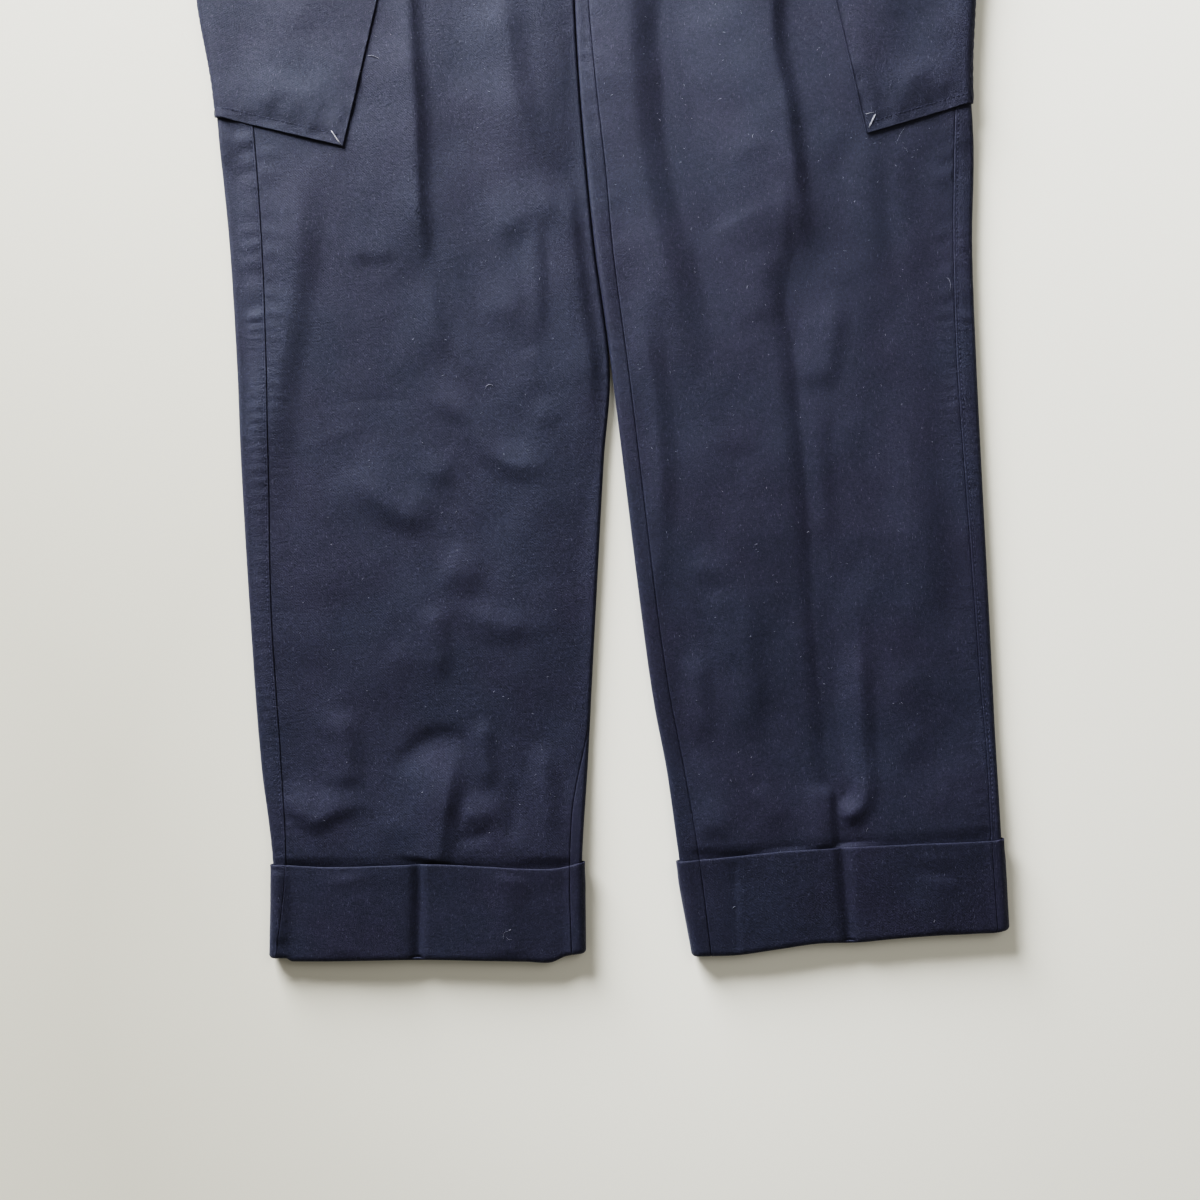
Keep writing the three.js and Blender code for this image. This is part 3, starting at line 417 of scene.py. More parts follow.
# Height of the middle of the upper layer: a rest height over the lower layer, drawn towards the height
# of the two side folds near them, and the relief
def topHeight(leg, x, y):
    outer, inner = outerTangent(leg, y), innerTangent(leg, y)
    rest = floorHeight(leg, x, y, pocket["liftMargin"] + pocket["liftFade"], pocket["liftEarly"])
    rest = rest + trousers["cloth"] + trousers["slack"]
    outerEdge = floorHeight(leg, outer, y) + 2 * outerRadius(leg, y)
    innerEdge = floorHeight(leg, inner, y) + 2 * innerRadius(leg, y)
    fromOuter, fromInner = np.abs(x - outer), np.abs(x - inner)
    nearOuter = fade(fromOuter, 0, trousers["edgeFade"])
    nearInner = fade(fromInner, 0, trousers["edgeFade"])
    edge = turnUpEdge(leg)
    pressed = 1 - inTurnUp(leg, y) * np.where(y < edge, 1, trousers["pressedAbove"])
    height = np.maximum(relief(leg, x, y), -trousers["deepest"]) * pressed
    height = height - trousers["cuffDip"] * fade(y, edge - 1, edge + 6) * leg["cuffEdges"]["dip"](x)
    for distance in (fromOuter, fromInner):
        height = height * smooth(distance, 0, trousers["reliefFade"])
    return rest + (outerEdge - rest) * nearOuter + (innerEdge - rest) * nearInner + height


# The cloth round a fold, by the distance past its tangent: flat below 0, then round half a circle, then
# flat again on the other layer. It comes from the top at the outer fold, and from below at the inner one.
def roundFold(leg, y, past, isOuter):
    radius = outerRadius(leg, y) if isOuter else innerRadius(leg, y)
    tangent = outerTangent(leg, y) if isOuter else innerTangent(leg, y)
    before, after = (topHeight, floorHeight) if isOuter else (floorHeight, topHeight)
    way, above = (leg["side"], 1) if isOuter else (-leg["side"], -1)
    turned = np.clip(past / radius, 0, math.pi)
    nx, nz = way * np.sin(turned), above * np.cos(turned)
    beyond = np.maximum(past - math.pi * radius, 0)
    x = tangent + way * np.minimum(past, 0) + radius * nx - way * beyond
    centre = floorHeight(leg, tangent, y) + radius
    z = np.where(past <= 0, before(leg, x, y), centre + radius * nz)
    z = np.where(beyond > 0, after(leg, x, y), z)
    return together(x, z, nx, nz)


def roundOuterFold(leg, y, past):
    return roundFold(leg, y, past, True)


def roundInnerFold(leg, y, past):
    return roundFold(leg, y, past, False)


# How far past the inner tangent the inside seam lies: on top of the leg low down, and half round the
# fold higher up
def insideSeamPast(leg, y):
    radius = innerRadius(leg, y)
    onTop = math.pi * radius + np.abs(leg["insideSeam"](y) - innerTangent(leg, y))
    return mix(onTop, math.pi / 2 * radius, smooth(y, *leg["seamRound"]))


# 1 where the legs are tubes, 0 where the panels end flat at the centre line
def tubeShare(y):
    return fade(y, trousers["crotch"], trousers["crotch"] + trousers["riseBlend"])


# Shares from 0 to 1 that stand closer together at both ends: the running sum of a density that is
# higher there
def denseEnds(count, extra, reach):
    t = np.linspace(0, 1, 400)
    density = 1 + extra * (np.exp(-t / reach) + np.exp(-(1 - t) / reach))
    total = np.concatenate([[0], np.cumsum((density[1:] + density[:-1]) / 2)])
    return np.interp(np.linspace(0, total[-1], count), total, t)


# 0 on the turn-up, 1 by its upper edge, where its cloth is thinner
def nearRim(leg, y):
    return smooth(y, turnUpEdge(leg) - 16, turnUpEdge(leg) - 4)


# The rows of a panel, from the waist down the leg, round the fold at the hem and up the turn-up. A turn
# of half a circle is the turn-up. half is half the cloth's thickness, which rounds off at both ends.
rowSteps = dict(coarse=5.0, coarseTo=660.0, fine=2.1, finest=1.6, underCuff=7, round=9, cuff=28)


def stations(leg):
    hem, edge = leg["hem"], turnUpEdge(leg)
    line = hem + (trousers["turnUpStep"] + trousers["hemCloth"]) / 2
    leaf = trousers["turnUpCloth"] / 2
    waist, thigh = trousers["waistSeam"], rowSteps["coarseTo"]
    down = np.concatenate([
        [waist, waist - 0.2, waist - 0.7], np.arange(waist - 4, thigh, -rowSteps["coarse"]),
        np.arange(thigh - 2, edge + 12, -rowSteps["fine"]),
        np.arange(edge + 10, edge - 4, -rowSteps["finest"]),
        np.linspace(edge - 8, line, rowSteps["underCuff"]),
    ])
    turns = np.linspace(0, math.pi, rowSteps["round"])[1:-1]
    up = np.concatenate([np.linspace(line, edge - 4, rowSteps["cuff"]), [edge - 2.6, edge - 1.5]])
    rim = np.radians([20, 45, 68, 84])
    lastUp = edge - leaf * trousers["rimShare"] * (1 - np.sin(rim))
    y = np.concatenate([down, np.full(len(turns), line), up, lastUp])
    turn = np.concatenate([np.zeros(len(down)), turns, np.full(len(up) + len(rim), math.pi)])
    half = np.concatenate([
        np.full(len(down), halfCloth), np.full(len(turns), trousers["hemCloth"] / 2),
        leaf * mix(1, trousers["rimShare"], nearRim(leg, up)),
        leaf * trousers["rimShare"] * np.cos(rim),
    ])
    half[:2] = [0.15, 0.5]
    return y[:, None], turn[:, None], half[:, None]


# A panel's middle: each point of the path across the leg, moved out of the leg by the turn-up's step,
# (1 - cos turn) / 2 of it, and down by sin turn / 2 of it at the hem. The turn-up's own folds, the
# flare of its edge and the unevenness of both edges come on top.
def panelMiddle(leg, path, y, turn):
    x, z, nx, nz = path
    step = trousers["turnUpStep"] / 2
    page = sectionY(leg, y, x)
    isCuff = smooth(turn, math.pi / 2, math.pi)
    up = np.clip((y - leg["hem"]) / trousers["turnUp"], 0, 1)
    onTop = smooth(nz, 0.2, 0.9)
    folds = sum(foldHeight(crease, x, page) for crease in leg["cuffFolds"])
    uneven = 0.25 * softNoise(x, page, 30, 21) + 0.05 * softNoise(x, page, 8, 22)
    flare = (0.3 + 0.35 * softNoise(x, page * 0 + 3, 38, 23)) * smooth(up, 0.7, 1)
    edge = turnUpEdge(leg)
    flare = flare + trousers["turnUpCloth"] / 2 * (1 - trousers["rimShare"]) * nearRim(leg, y)
    out = step * (1 - np.cos(turn)) + isCuff * onTop * (folds + uneven + flare)
    edges = leg["cuffEdges"]
    onLeg = edges["low"](x) * fade(up, 0, 0.7)
    onCuff = mix(edges["low"](x), edges["high"](x), up)
    shift = np.where(turn > 0, onCuff, onLeg) * (y < edge + 0.01)
    return np.stack([x + nx * out, page + shift - step * np.sin(turn), z + nz * out], axis=-1)


# The front panel's path across the leg, from the side seam over the top to the inside seam, or flat to
# the centre front above the crotch. The wearer's left front is lifted and laps over the right one.
def frontPath(leg, y):
    side, gap = leg["side"], trousers["seamGap"]
    seam = leg["sideSeam"](y) - side * gap / 2
    past = insideSeamPast(leg, y) + 3 * gap
    onTop = np.maximum(math.pi * innerRadius(leg, y), past + 4)
    inner = roundInnerFold(leg, y, onTop)[0]
    first = side * np.array([0, 0.25, 0.6, 1.1, 1.9, 3.0])
    across = denseEnds(92, 0.7, 0.05)
    x = np.concatenate([seam - first, mix(seam - side * 4.2, inner, across)], axis=1)
    top = together(x, topHeight(leg, x, y), 0, 1)
    share = np.linspace(0, 1, 8)[1:]
    ends = roundInnerFold(leg, y, mix(onTop, past, share))
    lap = trousers["flyLap"] * smooth(y, trousers["flyEnd"] - 4, trousers["flyEnd"] + 14) * (side > 0)
    centreX = mix(inner, meeting(y) + side * gap / 2 - lap, share)
    flat = together(centreX, topHeight(leg, centreX, y), 0, 1)
    path = np.concatenate([top, mix(flat, ends, tubeShare(y))], axis=2)
    path[2:] /= np.hypot(path[2], path[3])
    near = fade(np.abs(path[0] - meeting(y)), trousers["flyLap"], trousers["flyLap"] + trousers["flyFade"])
    lift = trousers["cloth"] + trousers["layerGap"]
    path[1] += lift * smooth(y, trousers["flyEnd"] - 24, trousers["flyEnd"] - 6) * near * (side > 0)
    return path


# The back panel's path across the leg, from the side seam round the outer fold, along the surface, and
# round the inner fold to the inside seam, or flat to the centre back above the crotch
def backPath(leg, y):
    side, gap = leg["side"], trousers["seamGap"]
    strip = np.abs(leg["sideSeam"](y) + side * gap / 2 - outerTangent(leg, y))
    fromSeam = np.array([0, 0.25, 0.6, 1.1, 1.8, 2.6, 3.6, 4.8])
    fromSeam = fromSeam * np.minimum(1, strip / 9)
    outerRound = math.pi * outerRadius(leg, y)
    reach = pocketReach(leg, y) + pocket["liftMargin"]
    onStrip = mix(-strip + fromSeam[:, -1:] + 0.6, -0.6, np.linspace(0, 1, 10))
    halves = np.array([0.5, 1])
    past = np.concatenate([
        -strip + fromSeam, onStrip, outerRound * np.linspace(0, 1, 10), outerRound + reach * halves,
        outerRound + reach + pocket["liftFade"] * halves,
    ], axis=1)
    outer = roundOuterFold(leg, y, past)
    seamPast = insideSeamPast(leg, y)
    arc = np.minimum(math.pi * innerRadius(leg, y), 0.75 * seamPast)
    toSeam = np.array([0.3, 0.6, 0.85, 0.96, 1])
    pastInner = np.concatenate([arc * np.linspace(0, 1, 9), mix(arc, seamPast, toSeam)], axis=1)
    centreX = meeting(y) + side * (gap / 2 + np.linspace(24, 0, pastInner.shape[1]))
    flat = together(centreX, floorHeight(leg, centreX, y), 0, -1)
    inner = mix(flat, roundInnerFold(leg, y, pastInner), tubeShare(y))
    x = mix(outer[0][:, -1:], inner[0][:, :1], np.linspace(0, 1, 14)[1:-1])
    under = together(x, floorHeight(leg, x, y), 0, -1)
    path = np.concatenate([outer, under, inner], axis=2)
    path[2:] /= np.hypot(path[2], path[3])
    return path


# The cloth beside a seam, by the distance from it: it sinks into the seam over a millimetre or two, and
# a pressed allowance under it lifts a strip, which puckers along the stitching. The puckers are a sine
# along the seam, wider apart and stronger from the knee up, that random values shift and weaken.
puckering = dict(
    knee=430.0, wide=2.3, close=1.2, full=(310, 440), least=0.4, fine=0.3, stitch=2.2, groove=0.16,
    grooveWidth=0.8, dipWidth=0.6,
)


def besideSeam(distance, along, lift, width, dip, pucker, seed):
    shape = lift * fade(distance, width - 3, width + 4) - dip * np.exp(-distance / puckering["dipWidth"])
    groove = -puckering["groove"] * bell(distance - puckering["stitch"], puckering["grooveWidth"])
    still = 0 * along
    fine = softNoise(along, distance * 0.35, 5.2, seed) * (0.6 + 0.4 * softNoise(along, still, 60, seed + 1))
    above = along - puckering["knee"]
    phase = above / np.where(above > 0, puckering["wide"], puckering["close"])
    bars = np.sin(phase + 2.4 * softNoise(along, still, 33, seed + 2) + 0.06 * distance)
    bars = bars * (0.5 + 0.5 * softNoise(along, distance, 24, seed + 3))
    bars = bars * mix(puckering["least"], 1, smooth(along, *puckering["full"]))
    reach = within(distance, 0.2, 2.0, width - 2, width + 8)
    return shape + groove * (lift > 0) + pucker * (bars + puckering["fine"] * fine) * reach


# Distance across a grid from its first or last column
def acrossGrid(points, fromLast=False):
    step = np.linalg.norm(np.diff(points, axis=1), axis=2)
    total = np.concatenate([np.zeros((len(points), 1)), np.cumsum(step, axis=1)], axis=1)
    return total[:, -1:] - total if fromLast else total


# Normals of a grid: the cross product of its two directions
def gridNormals(points):
    across, down = np.gradient(points, axis=1), np.gradient(points, axis=0)
    normals = np.cross(across, down)
    return normals / np.maximum(np.linalg.norm(normals, axis=2, keepdims=True), 1e-9)


# A smooth-shaded object in the frame's metres, from vertices in the garment's millimetres
def newObject(name, vertices, faces, uv=None):
    mesh = bpy.data.meshes.new(name)
    mesh.from_pydata(((vertices - origin) * mm).tolist(), [], faces)
    if uv is not None:
        layer = mesh.uv_layers.new(name="cloth")
        layer.data.foreach_set("uv", uv[np.concatenate(faces)].astype(np.float32).ravel())
    mesh.polygons.foreach_set("use_smooth", np.ones(len(faces), bool))
    mesh.update()
    piece = bpy.data.objects.new(name, mesh)
    bpy.context.scene.collection.objects.link(piece)
    return piece


# A closed wall of cloth on a grid of middle points: both faces lie half its thickness from them along
# the normals, and a strip closes it along each edge
def clothWall(name, middle, half, flip):
    rows, columns = middle.shape[:2]
    normals = gridNormals(middle) * (-1 if flip else 1)
    outer, inner = middle + normals * half[..., None], middle - normals * half[..., None]
    number = np.arange(rows * columns).reshape(rows, columns)
    a, b, c, d = number[:-1, :-1], number[:-1, 1:], number[1:, 1:], number[1:, :-1]
    quads = np.stack([a, b, c, d], axis=-1).reshape(-1, 4)
    count = rows * columns
    rim = np.concatenate([number[0], number[1:, -1], number[-1, -2::-1], number[-2::-1, 0]])
    edge = np.stack([rim[1:], rim[:-1], rim[:-1] + count, rim[1:] + count], axis=-1)
    faces = np.concatenate([quads, quads[:, ::-1] + count, edge])
    if flip:
        faces = faces[:, ::-1]
    u = acrossGrid(middle)
    v = acrossGrid(middle.transpose(1, 0, 2)).T
    uv = np.stack([u, v], axis=-1).reshape(-1, 2) * mm
    vertices = np.concatenate([outer.reshape(-1, 3), inner.reshape(-1, 3)])
    piece = newObject(name, vertices, faces.tolist(), np.concatenate([uv, uv]))
    area = np.linalg.norm(np.cross(np.gradient(middle, axis=1), np.gradient(middle, axis=0)), axis=2).sum()
    print(name, len(faces) * 2, "triangles", round(area * 1e-6, 4), "square metres")
    surfaces[name] = (outer, normals)
    pieces[name] = piece


pieces = {}
surfaces = {}


# The cloth thins to nothing over its last fraction of a millimetre, as a quarter round
def roundedEdge(distance, radius):
    return np.sqrt(1 - (1 - np.clip(distance / radius + 0.03, 0, 1)) ** 2)


# A panel: its middle, raised beside its two seams, and a wall of cloth that thins towards them
def makePanel(kind, leg, flip):
    y, turn, half = stations(leg)
    path = frontPath(leg, y) if kind == "front" else backPath(leg, y)
    middle = panelMiddle(leg, path, y, turn)
    normals = gridNormals(middle) * (-1 if flip else 1)
    fromSide, fromInside = acrossGrid(middle), acrossGrid(middle, fromLast=True)
    along = middle[..., 1] + 0 * fromSide
    if kind == "front":
        sideSeam, seed = dict(lift=0, width=8, dip=leg["sideDip"], pucker=0.25), 31
    else:
        sideSeam, seed = dict(lift=0.4, width=9, dip=0.06, pucker=leg["sidePucker"]), 35
    offset = besideSeam(fromSide, along, seed=seed, **sideSeam)
    offset += besideSeam(fromInside, along, lift=0, width=6, dip=0.12, pucker=0.1, seed=seed + 2)
    offset = offset * np.where(turn < 0.1, 1, 0.25 * (turn > 3))
    middle = middle + normals * offset[..., None]
    ends = roundedEdge(fromSide, trousers["edgeRound"]) * roundedEdge(fromInside, trousers["edgeRound"])
    clothWall(kind + "_" + leg["name"], middle, half * mix(trousers["edgeThin"], 1, ends), flip)


for leg in (rightLeg, leftLeg):
    makePanel("front", leg, leg["side"] < 0)
    makePanel("back", leg, leg["side"] > 0)
print("panels made")


# Height of a point of a pocket's slanted pattern. Near the bottom edge its rows rise outwards a little
# more, by the leg's own share of the way across, and start lower.
def pocketHeight(leg, across, up):
    lower = fade(up, 0, pocket["riseAbove"])
    rise = leg["pocketRise"] * (np.clip(across, 0, pocket["riseTo"]) - pocket["riseFrom"])
    return leg["cornerY"] + pocket["sin"] * across + pocket["cos"] * up + rise * lower


# A point of a pocket's flat pattern, laid on the leg and round its outer fold. across runs from the
# front edge outwards, up runs along the front edge from the bottom corner.
def pocketPoint(leg, across, up, lift):
    corner = leg["cornerX"] - leg["side"] * leg["pocketInward"]
    flatX = corner + leg["side"] * (pocket["cos"] * across - pocket["sin"] * up)
    page = pocketHeight(leg, across, up)
    y = page
    for repeat in range(2):
        place = roundOuterFold(leg, y, leg["side"] * (flatX - outerTangent(leg, y)))
        y = page - (sectionY(leg, y, place[0]) - y)
    x, z, nx, nz = place
    return np.stack([x + nx * lift, page + 0 * x, z + nz * lift], axis=-1)


# How far along a pocket's row the outer fold starts. Its place depends on the height that is reached
# there, so the answer is found in a few passes.
def foldAcross(leg, up):
    across = 0 * up
    for repeat in range(6):
        fromCorner = leg["side"] * (outerTangent(leg, pocketHeight(leg, across, up)) - leg["cornerX"])
        across = (fromCorner + leg["pocketInward"] + pocket["sin"] * up) / pocket["cos"]
    return across


# The share of its thickness to which the patch is pressed: least along its free edges, all past the fold
def patchThin(across, up, foldAt):
    onTop = fade(across, foldAt - pocket["runIn"], foldAt)
    pressed = mix(pocket["thinEdge"], pocket["thin"], smooth(np.minimum(across, up), 1, 12))
    return mix(1, pressed, onTop)


# Height of the patch's middle over the leg's: on its bellows along the free edges, most at the corner,
# and close to the cloth elsewhere
def patchLift(across, up, foldAt):
    away = (pocket["edge"], pocket["edge"] + pocket["fade"])
    bottom = fade(up, *away) * (1 - pocket["bottomSink"] * smooth(across, *pocket["bottomSunk"]))
    front = fade(across, *away) * (1 - pocket["frontSink"] * smooth(up, *pocket["frontSunk"]))
    onTop = fade(across, foldAt - pocket["runIn"], foldAt)
    lift = halfCloth * (1 + patchThin(across, up, foldAt)) + trousers["layerGap"]
    lift = lift + onTop * mix(pocket["rest"], pocket["standOff"], np.maximum(bottom, front))
    waves = 0.3 + 0.3 * softNoise(across, up, 33, 41) + 0.45 * softNoise(across * 0.3, up, 13, 42)
    return lift + np.maximum(waves, 0) * smooth(up, 10, 34) * smooth(across, 8, 50) * onTop


# Places from low to high: count of them evenly, and six more close together at each end
def edgeSteps(low, high, count):
    fine = np.array([0, 0.2, 0.5, 0.9, 1.5, 2.4])
    return np.concatenate([low + fine, np.linspace(low + 3.6, high - 3.6, count), high - fine[::-1]])


# The patch: soft waves, a stitched line along its bottom edge, and puckers between the two
def makePatch(leg):
    up = edgeSteps(0, pocket["height"], pocket["rows"])[::-1, None]
    across = edgeSteps(0, pocket["width"], pocket["columns"])[None, :]
    foldAt = foldAcross(leg, up)
    lift = patchLift(across, up, foldAt)
    lift = lift - pocket["stitchSink"] * bell(up - pocket["bottomStitch"], pocket["stitchWidth"])
    puckers = 0.45 * softNoise(across, up * 0.3, 8, 43) * within(up, 1, 7, 14, 30)
    bulge = within(up, 7.5, 20, 22, 48) * within(across, 16, 34, 55, 78)
    lift = lift + np.maximum(puckers, -0.2) + bulge * (0.9 + 0.35 * softNoise(across, up, 9, 46))
    lift = lift + 0.25 * softNoise(across * 0.3, up, 9, 44) * fade(across, 3, 16)
    lift = lift + leg["pocketRim"] * fade(across, 0.3, 1.1)
    middle = pocketPoint(leg, across, up, lift)
    edge = np.minimum(np.minimum(across, pocket["width"] - across), np.minimum(up, pocket["height"] - up))
    half = halfCloth * patchThin(across, up, foldAt) * roundedEdge(edge, 0.5)
    clothWall("cargo_pocket_" + leg["name"], middle, half, leg["side"] > 0)


# The flap over the patch's upper part, sewn on just above it
def makeFlap(leg):
    low, high = pocket["height"] - pocket["flapDrop"], pocket["height"] + pocket["flapRise"]
    left, right = -pocket["flapOverhang"], pocket["width"] + pocket["flapOverhang"]
    up = edgeSteps(low, high, pocket["flapRows"])[::-1, None]
    foldAt = foldAcross(leg, up)
    nearFold = foldAt.mean() + np.arange(-12, 24, 0.9)
    onTop = edgeSteps(left, nearFold[0] + 2.6, pocket["flapColumns"])[:-6]
    under = edgeSteps(nearFold[-1] - 2.6, right, pocket["flapColumns"])[6:]
    across = np.concatenate([onTop, nearFold, under])[None, :]
    lift = patchLift(across, up, foldAt) + trousers["cloth"] + pocket["flapGap"]
    lift = lift + 0.25 * softNoise(across, up, 30, 45)
    fromEdge = np.minimum(np.minimum(across - left, right - across), up - low)
    lift = lift - pocket["flapSink"] * bell(fromEdge - pocket["flapStitch"], pocket["stitchWidth"])
    lift = lift - pocket["flapFall"] * smooth(up, high - 9, high)
    middle = pocketPoint(leg, across, up, lift)
    half = halfCloth * roundedEdge(np.minimum(fromEdge, high - up), 0.9)
    clothWall("pocket_flap_" + leg["name"], middle, half, leg["side"] > 0)


# The bellows: a narrow gusset folded inwards under the patch's front and bottom edges. Its section is a
# U that lies on its side, carried down the front edge, round the corner and out along the bottom.
bellows = dict(
    inset=[2.4, 6, 10, 13.4, 14.6, 13.4, 10, 6, 1.2],
    share=[1, 1, 0.98, 0.9, 0.5, 0.1, 0.02, 0, 0],
    half=0.04, gap=0.02, corner=18.0, columns=17, downRows=84, turnRows=8, outRows=34,
)


def makeBellows(leg):
    fine = np.linspace(0, 1, bellows["columns"])
    at = np.linspace(0, 1, len(bellows["inset"]))
    inset = curve(at, bellows["inset"])(fine)[None, :]
    share = curve(at, bellows["share"])(fine)[None, :]
    corner = bellows["corner"]
    end = foldAcross(leg, np.array([3.0]))[0] - pocket["runIn"]
    down = np.linspace(pocket["height"] - 4, corner, bellows["downRows"])[:, None]
    out = np.linspace(corner, end, bellows["outRows"])[:, None]
    turn = np.linspace(1, 0, bellows["turnRows"])[1:, None]
    nearCorner = mix(inset, corner, turn)
    across = np.concatenate([inset + 0 * down, inset + 0 * turn, nearCorner[::-1][1:], out + 0 * inset])
    up = np.concatenate([down + 0 * inset, nearCorner, inset + 0 * turn[1:], inset + 0 * out])
    low = halfCloth + bellows["half"] + bellows["gap"]
    foldAt = foldAcross(leg, up)
    under = patchLift(across, up, foldAt) - halfCloth * patchThin(across, up, foldAt)
    high = np.maximum(under - bellows["half"] - bellows["gap"], low + 0.1)
    middle = pocketPoint(leg, across, up, mix(low, high, share))
    half = bellows["half"] * np.ones(across.shape)
    clothWall("pocket_bellows_" + leg["name"], middle, half, leg["side"] < 0)


for leg in (rightLeg, leftLeg):
    makePatch(leg)
    makeFlap(leg)
    makeBellows(leg)
print("pockets made")


# The waistband: a strip round the waist, whose left end lies over the right one. Its path runs from the
# hidden end across the top, round the fold, along the surface, round the other fold and back.
band = dict(underlap=30.0, step=26.0, topStitch=2.5, topCount=90, underCount=80, turnCount=11)


def bandPath():
    waist, half = trousers["waistSeam"], trousers["bandCloth"] / 2
    centre, radius = float(meeting(waist)), half + trousers["layerGap"]
    right = rightLeg["outerFold"](waist) + radius + halfCloth
    left = leftLeg["outerFold"](waist) - radius - halfCloth
    start, end = centre + band["underlap"], centre - trousers["flyLap"]
    high, climb = half + 2 * radius, trousers["bandCloth"] + trousers["layerGap"]
    over = np.linspace(left, end, band["topCount"])
    turned = np.linspace(0, math.pi, band["turnCount"])[1:-1]
    x = np.concatenate([
        np.linspace(start, right, band["topCount"]), right - radius * np.sin(turned),
        np.linspace(right, left, band["underCount"]), left + radius * np.sin(turned), over,
    ])
    z = np.concatenate([
        np.full(band["topCount"], high), half + radius + radius * np.cos(turned),
        np.full(band["underCount"], half), half + radius - radius * np.cos(turned),
        high + climb * smooth(-over, -start - band["step"], -start),
    ])
    return x, z


def makeWaistband():
    x, z = bandPath()
    y = edgeSteps(trousers["waistSeam"] + trousers["seamGap"], trousers["bandTop"], 16)
    middle = np.stack(np.broadcast_arrays(x[:, None], y[None, :], z[:, None]), axis=-1).astype(float)
    fromEdge = np.minimum(y - y[0], y[-1] - y)[None, :]
    groove = -0.25 * bell(fromEdge - band["topStitch"], 0.8)
    wave = 0.16 * softNoise(x[:, None], y[None, :], 26, 51) * (z > 3)[:, None]
    middle = middle + gridNormals(middle) * (groove + wave)[..., None] * -1
    along = acrossGrid(middle.transpose(1, 0, 2)).T
    ends = np.minimum(along, along[-1:] - along)
    half = trousers["bandCloth"] / 2 * roundedEdge(fromEdge, 1.2) * roundedEdge(ends, 1.2)
    clothWall("waistband", middle, half, True)


makeWaistband()
print("waistband made")


# A line on a surface at a distance from its first column, or from its last: a point and a normal a row
def lineDown(surface, distance, fromLast=False):
    points, normals = surface
    across = acrossGrid(points, fromLast)
    if fromLast:
        across, points, normals = across[:, ::-1], points[:, ::-1], normals[:, ::-1]
    found = np.array([
        [np.interp(distance, row, values[:, k]) for values in (p, n) for k in range(3)]
        for row, p, n in zip(across, points, normals)
    ])
    return found[:, :3], found[:, 3:]


# The same along a row of the surface
def lineAcross(surface, distance, fromLast=False):
    return lineDown([values.transpose(1, 0, 2) for values in surface], distance, fromLast)


thread = dict(pitch=3.1, length=2.3, radius=0.17, bow=0.32, sink=0.16, uneven=0.18, rings=5, corners=5)
stitches = []


# Stitches along a line: one in each pitch, from its start over the stitch's length, a little uneven
def sew(line, seed):
    points, normals = line
    along = np.concatenate([[0], np.cumsum(np.linalg.norm(np.diff(points, axis=0), axis=1))])
    start = np.arange(1.5, along[-1] - thread["pitch"], thread["pitch"])
    start = start + np.random.default_rng(seed).uniform(-thread["uneven"], thread["uneven"], len(start))

    def place(values, at):
        return np.stack([np.interp(at, along, values[:, k]) for k in range(3)], axis=-1)
    end, middle = start + thread["length"], start + thread["length"] / 2
    stitches.append((place(points, start), place(points, end), place(normals, middle)))


# Bowed threads: five rings of five points each, about the line from start to end raised by a parabola
# of the bow, less a little that the thread sinks into the cloth, and curled sideways by another
def threadMesh(name, starts, ends, normals, radius, bow, sink, curl=0):
    rings, corners = thread["rings"], thread["corners"]
    t = np.linspace(0, 1, rings)[None, :, None]
    direction = ends - starts
    direction = direction / np.linalg.norm(direction, axis=1, keepdims=True)
    side = np.cross(normals, direction)
    side = side / np.linalg.norm(side, axis=1, keepdims=True)
    up = np.cross(direction, side)
    arch = 4 * t * (1 - t)
    line = mix(starts[:, None], ends[:, None], t) + up[:, None] * (bow * arch - sink)
    line = line + side[:, None] * arch * np.reshape(curl, (-1, 1, 1))
    angle = np.linspace(0, 2 * math.pi, corners + 1)[:-1]
    taper = np.reshape(radius, (-1, 1, 1, 1)) * np.array([0.6, 1, 1, 1, 0.6])[None, :, None, None]
    ring = np.cos(angle)[:, None] * side[:, None, None] + np.sin(angle)[:, None] * up[:, None, None]
    vertices = (line[:, :, None] + ring * taper).reshape(-1, 3)
    first = np.arange(len(starts))[:, None] * rings * corners
    r, k = np.arange(rings - 1)[None, :, None, None] * corners, np.arange(corners)[None, None, :, None]
    after = (k + 1) % corners
    quads = np.concatenate([r + k, r + after, r + corners + after, r + corners + k], axis=3)
    quads = quads + first[:, None, None]
    lastRing = (rings - 1) * corners + np.arange(corners)
    caps = np.concatenate([first + np.arange(corners)[::-1], first + lastRing])
    pieces[name] = newObject(name, vertices, quads.reshape(-1, 4).tolist() + caps.tolist())
    print(name, len(starts), "threads")


# The rows of a line that are kept
def part(line, keep):
    return line[0][keep], line[1][keep]


for leg in (rightLeg, leftLeg):
    back, patch, flap = (surfaces[kind + leg["name"]] for kind in ("back_", "cargo_pocket_", "pocket_flap_"))
    y, turn, _ = stations(leg)
    aboveCuff = (turn[:, 0] == 0) & (y[:, 0] > turnUpEdge(leg) + 3)
    sew(part(lineDown(back, puckering["stitch"]), aboveCuff), 61)
    sew(part(lineAcross(patch, pocket["bottomStitch"], fromLast=True), slice(6, 70)), 62)
    sew(part(lineAcross(flap, pocket["flapStitch"], fromLast=True), slice(8, -8)), 63)
    sew(part(lineDown(flap, pocket["flapStitch"]), slice(4, -8)), 64)
    sew(lineAcross(flap, 2.5), 65)
sew(lineDown(surfaces["waistband"], band["topStitch"]), 66)
sew(lineDown(surfaces["waistband"], band["topStitch"], fromLast=True), 67)


